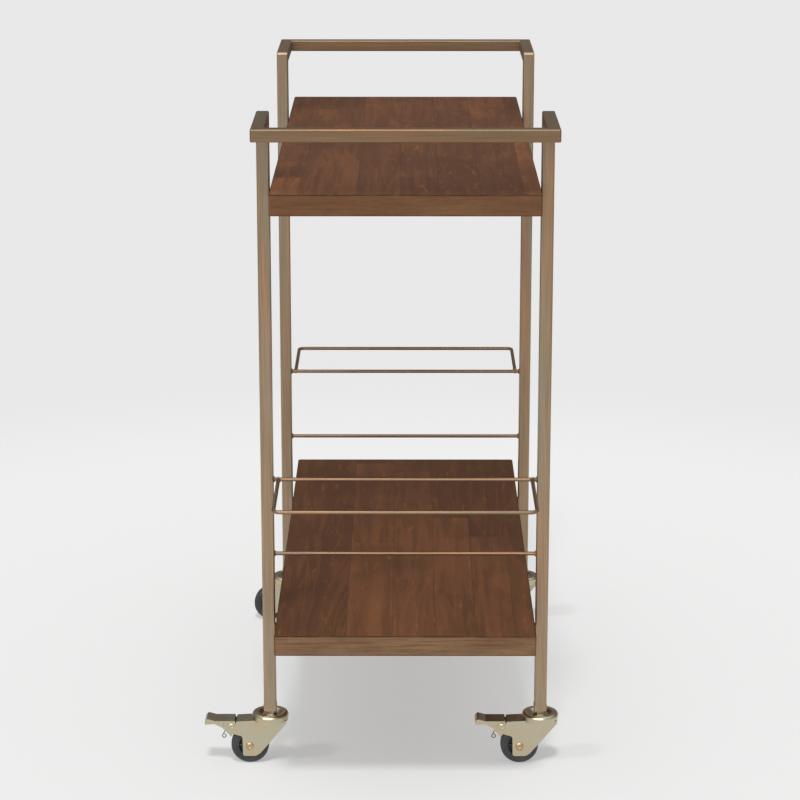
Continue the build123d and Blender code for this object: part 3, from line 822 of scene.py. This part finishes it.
class CART_OT_tubes(bpy.types.Operator):
    """Builds the legs, the handles and the rails from mitred square tube"""

    bl_idname = "cart.tubes"
    bl_label = "Square tubes"

    def execute(self, context):
        tree = square_tube_tree()
        sizes = context.scene.cart_frame
        corner, top_bend, grip_bend = sizes.tube_corner, sizes.top_bend, sizes.grip_bend
        for end in ENDS:
            handle = box_middle(f"{end}_handle")
            low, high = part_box(f"{end}_handle")
            bar_y = (low.y if end == "front" else high.y) - (-TUBE / 2 if end == "front" else TUBE / 2)
            feet = {side: box_middle(f"{end}_{side}_leg") for side in SIDES}
            foot_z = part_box(f"{end}_left_leg")[0].z
            path = []
            for side in SIDES:
                x, y = feet[side].x, feet[side].y
                up = [Vector((x, y, foot_z)), Vector((x, y, handle.z)), Vector((x, bar_y, handle.z))]
                path += up if side == "left" else up[::-1]
            roundings = (top_bend, grip_bend, grip_bend, top_bend)
            left, arm, bar, other_arm, right = tube_run(tree, path, corner, roundings)
            new_piece(f"{end}_left_leg_tube", left, FRAME_BODY, "bronze_frame", f"{end}_left_leg")
            new_piece(f"{end}_right_leg_tube", right, FRAME_BODY, "bronze_frame", f"{end}_right_leg")
            grip = joined([arm, bar, other_arm])
            new_piece(f"{end}_push_handle", grip, FRAME_BODY, "bronze_frame", f"{end}_handle")
            for level in ("upper", "lower"):
                node = f"{end}_{level}_rail"
                low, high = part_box(node)
                middle = (low + high) / 2
                ends = [Vector((low.x, middle.y, middle.z)), Vector((high.x, middle.y, middle.z))]
                new_piece(f"{node}_tube", tube_run(tree, ends, corner)[0], FRAME_BODY, "bronze_frame", node)
        return {"FINISHED"}


class CART_OT_ferrules(bpy.types.Operator):
    """Rounds the edges of the square inserts at the feet of the legs"""

    bl_idname = "cart.ferrules"
    bl_label = "Leg ferrules"

    def execute(self, context):
        mesh = softened(cad_copy("leg_inserts", material(bronze, "Z")), 0.5 * MM)
        new_piece("leg_ferrules", mesh, FRAME_BODY, "bronze_frame", "leg_inserts")
        return {"FINISHED"}


class CART_OT_rods(bpy.types.Operator):
    """Bends the cross rods and the guard rods"""

    bl_idname = "cart.rods"
    bl_label = "Cross rods and guard rods"

    def execute(self, context):
        tree = bent_rod_tree()
        bend = context.scene.cart_frame.guard_bend
        for end in ENDS:
            for level in ("upper", "lower"):
                node = f"{end}_{level}_rod"
                low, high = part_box(node)
                middle = (low + high) / 2
                points = [(low.x, middle.y, middle.z), (high.x, middle.y, middle.z)]
                inputs = {"Finish": material(bronze, "X"), "Bend radius": 0.0}
                mesh = grown(tree, inputs, points, [(0, 1)])
                new_piece(f"{node}_bar", shaded(mesh, 50.0), FRAME_BODY, "bronze_frame", node)
            node = f"{end}_guard_rod"
            low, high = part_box(node)
            inner, outer = (high.y, low.y) if end == "front" else (low.y, high.y)
            outer += ROD / 2 if end == "front" else -ROD / 2
            x, z = high.x - ROD / 2, (low.z + high.z) / 2
            points = [(-x, inner, z), (-x, outer, z), (x, outer, z), (x, inner, z)]
            inputs = {"Finish": material(bronze, "X"), "Bend radius": bend}
            mesh = grown(tree, inputs, points, [(0, 1), (1, 2), (2, 3)])
            new_piece(f"{end}_guard_loop", shaded(mesh, 50.0), FRAME_BODY, "bronze_frame", node)
        return {"FINISHED"}


class CART_OT_welds(bpy.types.Operator):
    """Lays a ring of weld beads wherever a rod meets a leg or another rod"""

    bl_idname = "cart.welds"
    bl_label = "Weld beads"

    def execute(self, context):
        tree = weld_tree()
        finish = context.scene.cart_frame
        for end in ENDS:
            points = []
            for level in ("upper", "lower"):
                low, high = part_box(f"{end}_{level}_rod")
                middle = (low + high) / 2
                points += [(x, middle.y, middle.z) for x in (low.x + BEAD_SINK, high.x - BEAD_SINK)]
            ring = {"Beads": finish.beads, "Ring radius": ROD / 2 + BEAD_STAND_OFF}
            inputs = {"Finish": material(bronze, "Y"), **ring}
            rings = shaded(grown(tree, inputs, points), 60.0)
            low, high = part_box(f"{end}_guard_rod")
            inner = high.y if end == "front" else low.y
            arms = [(x, inner, (low.z + high.z) / 2) for x in (low.x + ROD / 2, high.x - ROD / 2)]
            turn = Matrix.Rotation(math.pi / 2, 4, "Z")
            local = [turn.inverted() @ Vector(point) for point in arms]
            tees = placed(shaded(grown(tree, inputs, local), 60.0), turn)
            new_piece(f"{end}_weld_beads", joined([rings, tees]), FRAME_BODY, "bronze_frame")
        return {"FINISHED"}


# --- Shelves ------------------------------------------------------------------------------------


def board(low, high, corner, ease, finishes):
    """A board with rounded upright corners and eased long edges; its finishes are for top, ends and edges."""
    width, length = high.x - low.x, high.y - low.y
    body = bmesh.new()
    outline = arc_corners(
        [(sx * width / 2, sy * length / 2, corner) for sx, sy in ((-1, -1), (1, -1), (1, 1), (-1, 1))], 6
    )
    steps = 4
    levels = []
    for step in range(steps + 1):
        turn = math.pi / 2 * step / steps
        levels.append((ease * (1 - math.sin(turn)), low.z + ease * (1 - math.cos(turn))))
    levels += [(inset, high.z + low.z - z) for inset, z in reversed(levels)]
    rings = []
    for inset, z in levels:
        ring = []
        for point in outline:
            x = math.copysign(max(abs(point.x) - inset, 0), point.x)
            y = math.copysign(max(abs(point.y) - inset, 0), point.y)
            ring.append(body.verts.new((x, y, z)))
        rings.append(ring)
    for lower, upper in zip(rings, rings[1:]):
        for index in range(len(outline)):
            following = (index + 1) % len(outline)
            body.faces.new((lower[index], lower[following], upper[following], upper[index]))
    body.faces.new(rings[0][::-1])
    body.faces.new(rings[-1])
    body.normal_update()
    for face in body.faces:
        normal = face.normal
        straight = max(abs(normal.x), abs(normal.y), abs(normal.z)) > 0.999
        # The eased edges take the third finish, which carries a painted shade.
        if not straight and abs(normal.z) > 0.05:
            face.material_index = 2
        elif abs(normal.y) > 0.9:
            face.material_index = 1
    mesh = bpy.data.meshes.new("board")
    body.to_mesh(mesh)
    body.free()
    for finish in finishes:
        mesh.materials.append(finish)
    mesh.shade_smooth()
    thing = bpy.data.objects.new("board", mesh)
    bpy.context.scene.collection.objects.link(thing)
    thing.modifiers.new("weighted", "WEIGHTED_NORMAL").keep_sharp = True
    middle = (low + high) / 2
    return placed(evaluated(thing), Matrix.Translation((middle.x, middle.y, 0)))


class CART_OT_shelves(bpy.types.Operator):
    """Builds the two wooden shelves"""

    bl_idname = "cart.shelves"
    bl_label = "Shelves"

    def execute(self, context):
        wood = context.scene.cart_shelves
        for seed, level in enumerate(("upper", "lower"), 1):
            low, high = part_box(f"{level}_shelf")
            finishes = [material(walnut_top, seed), material(walnut_end, seed), material(walnut_edge_painted_shade)]
            mesh = board(low, high, wood.corner, wood.ease, finishes)
            new_piece(f"{level}_shelf_board", mesh, FRAME_BODY, "walnut", f"{level}_shelf")
        return {"FINISHED"}


class CART_OT_screws(bpy.types.Operator):
    """Sets the screws that hold the shelves to their rails"""

    bl_idname = "cart.screws"
    bl_label = "Shelf screws"

    def execute(self, context):
        low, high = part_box("shelf_screws")
        head = SCREW_HEAD_RADIUS
        points = []
        for level in ("upper", "lower"):
            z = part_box(f"front_{level}_rail")[0].z
            rows = (low.y + head, high.y - head)
            points += [(x, y, z) for x in (low.x + head, high.x - head) for y in rows]
        mesh = grown(screw_tree(), {"Finish": material(steel)}, points)
        new_piece("shelf_screw_set", shaded(mesh), FRAME_BODY, "steel", "shelf_screws")
        return {"FINISHED"}


# --- Casters ------------------------------------------------------------------------------------


def dish_outline(rim, top, bottom):
    """Section of a pressed dish: a sunken middle, a round crest and a skirt."""
    floor, sheet = DISH_FLOOR, DISH_SHEET
    return [
        (STEM_HOLE_RADIUS, floor - sheet, 0),
        (STEM_HOLE_RADIUS, floor, 0),
        (11.6 * MM, floor, 2.5 * MM),
        (15.4 * MM, top, 2.6 * MM),
        (rim - 1.6 * MM, top, 2.4 * MM),
        (rim, top - 3.0 * MM, 1.4 * MM),
        (rim, bottom, 0.4 * MM),
        (rim - sheet, bottom, 0.3 * MM),
        (rim - sheet, top - 3.0 * MM, 0.5 * MM),
        (rim - 2.6 * MM, top - sheet, 1.0 * MM),
        (16.2 * MM, top - sheet, 1.5 * MM),
        (12.2 * MM, floor - sheet, 1.5 * MM),
    ]


class CART_OT_race_dishes(bpy.types.Operator):
    """Turns the pressed dishes that cover the swivel bearings"""

    bl_idname = "cart.race_dishes"
    bl_label = "Race dishes"

    def execute(self, context):
        for caster in CASTERS:
            node = caster.node("race_dish")
            low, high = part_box(node)
            rim = (high.x - low.x) / 2
            mesh = placed(lathed(dish_outline(rim, high.z, low.z), material(zinc), 96), caster.place)
            new_piece(caster.node("bearing_dish"), mesh, FRAME_BODY, "zinc", node)
        return {"FINISHED"}


class CART_OT_stems(bpy.types.Operator):
    """Rounds the nuts and the stems between the legs and the casters"""

    bl_idname = "cart.stems"
    bl_label = "Stems and nuts"

    def execute(self, context):
        nuts = softened(cad_copy("stem_nuts", material(steel)), 0.25 * MM)
        new_piece("stem_nut_set", nuts, FRAME_BODY, "steel", "stem_nuts")
        stems = shaded(cad_merged("caster_stems", material(steel)))
        new_piece("caster_stem_set", stems, FRAME_BODY, "steel", "caster_stems")
        return {"FINISHED"}


def cad_merged(node, finish):
    """A copy of a CAD node's mesh with its triangles joined."""
    mesh = cad_copy(node, finish)
    body = bmesh.new()
    body.from_mesh(mesh)
    bmesh.ops.remove_doubles(body, verts=body.verts, dist=1e-6)
    body.to_mesh(mesh)
    body.free()
    return mesh


class CART_OT_forks(bpy.types.Operator):
    """Rounds the edges of the pressed forks"""

    bl_idname = "cart.forks"
    bl_label = "Forks"

    def execute(self, context):
        for caster in CASTERS:
            mesh = softened(cad_copy(caster.node("fork"), material(zinc)), 0.45 * MM)
            new_piece(caster.node("pressed_fork"), mesh, caster.body("swivel"), "zinc", caster.node("fork"))
        return {"FINISHED"}


def rivet(half_width, shank, head, height, finish):
    """A rivet along Z with a domed head and a peened dimple at each end."""
    outline = [
        (0, half_width + height * 0.72, 0),
        (head * 0.22, half_width + height * 0.72, 0.3 * MM),
        (head * 0.36, half_width + height, 0.4 * MM),
        (head * 0.7, half_width + height * 0.86, 0.8 * MM),
        (head, half_width + height * 0.3, 0.5 * MM),
        (head, half_width, 0),
        (shank, half_width, 0),
    ]
    mirrored = [(r, -z, corner) for r, z, corner in reversed(outline)]
    return lathed(outline + mirrored, finish, 40, 4)


class CART_OT_rivets(bpy.types.Operator):
    """Turns the axle rivets and the brake pivot pins"""

    bl_idname = "cart.rivets"
    bl_label = "Rivets and pins"

    def execute(self, context):
        half = FORK_HALF_WIDTH
        lay = Matrix.Rotation(math.pi / 2, 4, "X")
        for caster in CASTERS:
            body = caster.body("swivel")
            axle = rivet(half, 4.0 * MM, 5.4 * MM, 1.9 * MM, material(yellow_zinc))
            axle = placed(axle, caster.place @ Matrix.Translation(caster.axle) @ lay)
            new_piece(caster.node("axle"), axle, body, "yellow_zinc", caster.node("axle_rivet"))
        for caster in BRAKED:
            body = caster.body("swivel")
            pin = rivet(half, 2.5 * MM, 4.6 * MM, 0.95 * MM, material(zinc))
            pin = placed(pin, caster.place @ Matrix.Translation(caster.pivot) @ lay)
            new_piece(caster.node("pivot_pin"), pin, body, "zinc", caster.node("brake_pivot_pin"))
        return {"FINISHED"}


def tyre_outline():
    """Half of the tyre's section: crown, shoulder, side step and bead."""
    half = box_size("front_left_tyre").y / 2
    return [
        (WHEEL_RADIUS, 0.25 * MM, 0),
        (WHEEL_RADIUS - 0.18 * MM, 0.45 * MM, 0),
        (WHEEL_RADIUS - 0.35 * MM, half - 2.2 * MM, 2.4 * MM),
        (WHEEL_RADIUS - 3.4 * MM, half, 1.4 * MM),
        (20.6 * MM, half, 0.2 * MM),
        (20.2 * MM, half - 0.5 * MM, 0.2 * MM),
        (18.6 * MM, half - 0.5 * MM, 0.2 * MM),
        (17.5 * MM, half - 0.9 * MM, 0),
    ]


class CART_OT_wheels(bpy.types.Operator):
    """Turns the tyres and the ribbed hubs"""

    bl_idname = "cart.wheels"
    bl_label = "Wheels"

    def execute(self, context):
        half = tyre_outline()
        section = half + [(r, -z, corner) for r, z, corner in reversed(half)]
        hub_half = [
            (17.5 * MM, 8.4 * MM, 0.3 * MM),
            (14.6 * MM, 8.4 * MM, 0.4 * MM),
            (14.6 * MM, 2.5 * MM, 0.6 * MM),
            (7.0 * MM, 2.5 * MM, 0.6 * MM),
            (7.0 * MM, 10.6 * MM, 0.4 * MM),
            (4.05 * MM, 10.6 * MM, 0),
        ]
        hub_section = hub_half + [(r, -z, corner) for r, z, corner in reversed(hub_half)]
        ribs = rib_tree()
        lay = Matrix.Rotation(math.pi / 2, 4, "X")
        for caster in CASTERS:
            place = caster.place @ Matrix.Translation(caster.axle) @ lay
            tread = placed(lathed(section, material(tyre_rubber), 128), place)
            new_piece(caster.node("tread"), tread, caster.body("wheel"), "tyre_rubber", caster.node("tyre"))
            turned = lathed(hub_section, material(hub_plastic), 96)
            spokes = softened(grown(ribs, {"Finish": material(hub_plastic), "Height": 15.0 * MM}), 0.2 * MM)
            hub = placed(joined([turned, spokes]), place)
            new_piece(caster.node("hub"), hub, caster.body("wheel"), "hub_plastic", caster.node("wheel_hub"))
        return {"FINISHED"}


class CART_OT_pedals(bpy.types.Operator):
    """Rounds the edges of the brake pedals"""

    bl_idname = "cart.pedals"
    bl_label = "Brake pedals"

    def execute(self, context):
        for caster in BRAKED:
            mesh = softened(cad_copy(caster.node("brake_pedal"), material(zinc)), 0.3 * MM)
            node = caster.node("brake_pedal")
            new_piece(caster.node("pedal_lever"), mesh, caster.body("pedal"), "zinc", node)
        return {"FINISHED"}


class CART_OT_springs(bpy.types.Operator):
    """Smooths the brake springs and sets the bearing balls"""

    bl_idname = "cart.springs"
    bl_label = "Springs and balls"

    def execute(self, context):
        for caster in BRAKED:
            node = caster.node("brake_spring")
            wire = shaded(cad_merged(node, material(spring_wire)), 50.0)
            new_piece(caster.node("return_spring"), wire, caster.body("swivel"), "steel", node)
        tree = ball_ring_tree()
        for caster in CASTERS:
            body = caster.body("swivel")
            node = caster.node("bearing_balls")
            height = box_middle(node).z
            mesh = grown(tree, {"Finish": material(steel)}, [(0, 0, height)])
            mesh = placed(shaded(mesh, 60.0), caster.place)
            new_piece(caster.node("ball_ring"), mesh, body, "steel", node)
        return {"FINISHED"}


# --- Stage --------------------------------------------------------------------------------------


def studio_world(stage):
    """A soft studio with a bright ceiling and dimmer walls, seen as one plain backdrop."""
    world = bpy.data.worlds.new("studio")
    bpy.context.scene.world = world
    world.use_nodes = True
    tree = Tree(world.node_tree)
    tree.tree.nodes.clear()
    way = tree.add("ShaderNodeTexCoord").outputs["Generated"]
    axes = tree.add("ShaderNodeSeparateXYZ", {0: way}).outputs

    def span(value, low, high, to_low, to_high):
        inputs = {0: value, 1: low, 2: high, 3: to_low, 4: to_high}
        return tree.add("ShaderNodeMapRange", inputs, interpolation_type="SMOOTHSTEP").outputs[0]

    wall = span(axes[1], -0.4, 0.5, stage.front_wall, stage.back_wall)
    ceiling = span(axes[2], 0.5, 0.85, 0.0, 1.0)
    glow = tree.math("MULTIPLY_ADD", ceiling, tree.math("SUBTRACT", stage.ceiling, wall), wall)
    seen = tree.add("ShaderNodeLightPath").outputs["Is Camera Ray"]
    lit = tree.add("ShaderNodeBackground", {"Color": (1.0, 0.995, 0.985, 1.0), "Strength": glow})
    plain = tree.add("ShaderNodeBackground", {"Color": rgb(stage.backdrop), "Strength": 1.0})
    mixed = tree.add("ShaderNodeMixShader", {0: seen, 1: lit.outputs[0], 2: plain.outputs[0]})
    output = tree.add("ShaderNodeOutputWorld")
    tree.tree.links.new(mixed.outputs[0], output.inputs["Surface"])


def floor_surface(stage):
    """A pale floor that glows a little and blends into the backdrop at its rim."""
    grey = rgb((1.0, 1.0, 1.0), stage.floor)
    glow = {"Emission_Color": (1.0, 1.0, 1.0, 1.0), "Emission_Strength": stage.floor_glow}
    surface = Shader("pale_floor", Roughness=0.9, Base_Color=grey, Specular_IOR_Level=0.0, **glow)
    away = surface.add("ShaderNodeVectorMath", {0: surface.place}, operation="LENGTH").outputs["Value"]
    plain = surface.add("ShaderNodeEmission", {"Color": rgb(stage.backdrop), "Strength": 1.0})
    rim = surface.span(away, stage.floor_radius * 0.6, stage.floor_radius)
    mixed = surface.add("ShaderNodeMixShader", {0: rim, 1: surface.shader.outputs[0], 2: plain.outputs[0]})
    surface.tree.links.new(mixed.outputs[0], surface.surface)
    return surface.material


def add_sun(name, energy, size, aim, floor, for_floor, blockers=()):
    """A distant light for the floor or for all but the floor; only blockers, if given, shade it."""
    lamp = bpy.data.lights.new(name, "SUN")
    lamp.energy = energy
    lamp.angle = size
    sun = bpy.data.objects.new(name, lamp)
    sun.rotation_euler = Vector(aim).to_track_quat("-Z", "Y").to_euler()
    bpy.context.scene.collection.objects.link(sun)
    reached = bpy.data.collections.new(f"{name}_reach")
    reached.objects.link(floor)
    sun.light_linking.receiver_collection = reached
    reached.collection_objects[0].light_linking.link_state = "INCLUDE" if for_floor else "EXCLUDE"
    if blockers:
        blocking = bpy.data.collections.new(f"{name}_shadows")
        for piece in blockers:
            blocking.objects.link(piece)
        sun.light_linking.blocker_collection = blocking


def add_camera(stage):
    """A camera before the cart's front, looking down a little."""
    lens = bpy.data.cameras.new("camera")
    lens.lens = stage.lens
    lens.sensor_width = 36.0
    lens.clip_end = 200.0
    camera = bpy.data.objects.new("camera", lens)
    camera.location = (0.0, -stage.distance, stage.height)
    camera.rotation_euler = (math.pi / 2 - stage.tilt, 0.0, stage.pan)
    bpy.context.scene.collection.objects.link(camera)
    bpy.context.scene.camera = camera


def add_floor(stage):
    """A round floor."""
    body = bmesh.new()
    bmesh.ops.create_circle(body, cap_ends=True, segments=96, radius=stage.floor_radius)
    mesh = bpy.data.meshes.new("floor")
    body.to_mesh(mesh)
    body.free()
    mesh.materials.append(floor_surface(stage))
    floor = bpy.data.objects.new("floor", mesh)
    bpy.context.scene.collection.objects.link(floor)
    return floor


class CART_OT_stage(bpy.types.Operator):
    """Sets the floor, the soft studio light and the camera"""

    bl_idname = "cart.stage"
    bl_label = "Stage"

    def execute(self, context):
        stage = context.scene.cart_stage
        context.scene.view_settings.view_transform = "Standard"
        studio_world(stage)
        floor = add_floor(stage)
        names = [caster.node(part) for caster in CASTERS for part in ("tread", "hub", "pressed_fork")]
        rolling = [bpy.data.objects[name] for name in names]
        add_sun("overhead", stage.overhead, math.radians(9), (0.03, 0.5, -1.0), floor, True)
        add_sun("low_left", stage.low_left, math.radians(12), (0.85, 0.5, -0.85), floor, True, rolling)
        add_sun("front_window", stage.window, math.radians(55), (0.3, 1.0, -0.8), floor, False)
        add_camera(stage)
        return {"FINISHED"}


# --- Settings, panel and registration -----------------------------------------------------------


def length(name, description, default):
    """A length property in metres."""
    return FloatProperty(name=name, description=description, default=default, min=0.0, unit="LENGTH")


def colour(name, description, default):
    """A linear colour property."""
    kind = {"size": 3, "subtype": "COLOR", "min": 0.0, "max": 1.0}
    return FloatVectorProperty(name=name, description=description, default=default, **kind)


def strength(name, description, default):
    """A strength of light."""
    return FloatProperty(name=name, description=description, default=default, min=0.0)


def share(name, description, default):
    """A property from 0 to 1."""
    kind = {"min": 0.0, "max": 1.0, "subtype": "FACTOR"}
    return FloatProperty(name=name, description=description, default=default, **kind)


def angle(name, description, degrees):
    """An angle property, its default given in degrees."""
    return FloatProperty(name=name, description=description, default=math.radians(degrees), subtype="ANGLE")


class CartFrameSettings(bpy.types.PropertyGroup):
    """Sizes and colours of the metal frame"""

    tube_corner: length("Tube corner", "Outer corner radius of the square tube", 1.7 * MM)
    top_bend: length("Leg top bend", "Rounding where a leg meets its handle", 4 * MM)
    grip_bend: length("Grip bend", "Rounding at the ends of a handle's bar", 2 * MM)
    guard_bend: length("Guard bend", "Bend radius of the guard rods", 8 * MM)
    beads: IntProperty(name="Weld beads", description="Beads in each weld ring", default=9, min=3, max=24)
    bronze: colour("Bronze", "Main colour of the finish", (0.39, 0.273, 0.176))
    olive: colour("Olive", "Greener patches of the finish", (0.345, 0.285, 0.2))
    copper: colour("Copper", "Redder patches of the finish", (0.49, 0.277, 0.148))
    # Painted shade: these tints darken the bronze by direction, the bars along X and the arms along Y,
    # standing in for darker reflections; the legs are left untouched.
    level_painted_shade: colour("Level tint", "Tint of the bars and rods along X", (0.72, 0.65, 0.59))
    arm_painted_shade: colour("Arm tint", "Tint of the arms along Y", (0.74, 0.74, 0.66))
    upright_painted_shade: colour("Upright tint", "Tint of the legs", (1.0, 1.0, 1.0))


class CartShelfSettings(bpy.types.PropertyGroup):
    """Sizes and colours of the shelves"""

    corner: length("Corner radius", "Radius of the upright corners", 3 * MM)
    ease: length("Eased edge", "Radius of the long edges", 1.2 * MM)
    stave_width: length("Stave width", "Average width of a stave", 52 * MM)
    stave_length: length("Stave length", "Average length of a stave", 420 * MM)
    roughness: share("Roughness", "Roughness of the lacquer", 0.5)
    dark: colour("Dark stain", "Darkest staves", (0.112, 0.05, 0.026))
    middle: colour("Middle stain", "Most staves", (0.178, 0.074, 0.036))
    amber: colour("Amber stain", "Lightest staves", (0.275, 0.11, 0.042))
    upper_lipping: colour("Upper lipping", "Colour of the upper shelf's ends", (0.172, 0.085, 0.043))
    lower_lipping: colour("Lower lipping", "Colour of the lower shelf's ends", (0.202, 0.119, 0.065))


class CartCasterSettings(bpy.types.PropertyGroup):
    """Colour of the tyres"""

    rubber: colour("Rubber", "Colour of the tyres", (0.028, 0.028, 0.03))


class CartStageSettings(bpy.types.PropertyGroup):
    """Floor, light and camera"""

    backdrop: colour("Backdrop", "Colour of the backdrop", (0.815, 0.812, 0.818))
    floor: share("Floor", "How much light the floor returns", 0.28)
    floor_glow: strength("Floor glow", "Light the floor gives off", 0.375)
    floor_radius: length("Floor radius", "Radius of the round floor", 1.8)
    ceiling: strength("Ceiling", "Brightness of the ceiling", 1.1)
    front_wall: strength("Front wall", "Brightness of the studio before the cart", 0.55)
    back_wall: strength("Back wall", "Brightness of the studio behind the cart", 0.16)
    overhead: strength("Overhead light", "Strength of the light above the floor", 2.75)
    low_left: strength("Low light", "Strength of the light from the left", 1.1)
    window: strength("Front window", "Strength of the light from the front", 2.0)
    distance: length("Distance", "Camera's distance before the cart's middle", 3.549)
    height: length("Height", "Camera's height above the floor", 1.373)
    lens: FloatProperty(name="Lens", description="Focal length in millimetres", default=119.5, min=1)
    tilt: angle("Tilt", "How far the camera looks down", 15.05)
    pan: angle("Pan", "How far the camera is turned left", 0.12)


STEPS = (
    CART_OT_tubes,
    CART_OT_ferrules,
    CART_OT_rods,
    CART_OT_welds,
    CART_OT_shelves,
    CART_OT_screws,
    CART_OT_race_dishes,
    CART_OT_stems,
    CART_OT_forks,
    CART_OT_rivets,
    CART_OT_wheels,
    CART_OT_pedals,
    CART_OT_springs,
    CART_OT_stage,
)

SETTINGS = {
    "cart_frame": CartFrameSettings,
    "cart_shelves": CartShelfSettings,
    "cart_casters": CartCasterSettings,
    "cart_stage": CartStageSettings,
}


class CART_PT_pieces(bpy.types.Panel):
    """Lists the cart's pieces and settings"""

    bl_idname = "CART_PT_pieces"
    bl_label = "Bar Cart"
    bl_space_type = "VIEW_3D"
    bl_region_type = "UI"
    bl_category = "Bar Cart"

    def draw(self, context):
        for step in STEPS:
            self.layout.operator(step.bl_idname)
        for name, group in SETTINGS.items():
            box = self.layout.box()
            for setting in group.__annotations__:
                box.prop(getattr(context.scene, name), setting)


def register():
    """Registers the settings, the operators and the panel."""
    for group in SETTINGS.values():
        bpy.utils.register_class(group)
    for name, group in SETTINGS.items():
        setattr(bpy.types.Scene, name, PointerProperty(type=group))
    for step in (*STEPS, CART_PT_pieces):
        bpy.utils.register_class(step)


def unregister():
    """Takes everything away again."""
    for step in (CART_PT_pieces, *reversed(STEPS)):
        bpy.utils.unregister_class(step)
    for name, group in SETTINGS.items():
        delattr(bpy.types.Scene, name)
        bpy.utils.unregister_class(group)


def main():
    register()
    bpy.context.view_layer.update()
    for step in STEPS:
        group, name = step.bl_idname.split(".")
        getattr(getattr(bpy.ops, group), name)()


if __name__ == "__main__":
    main()
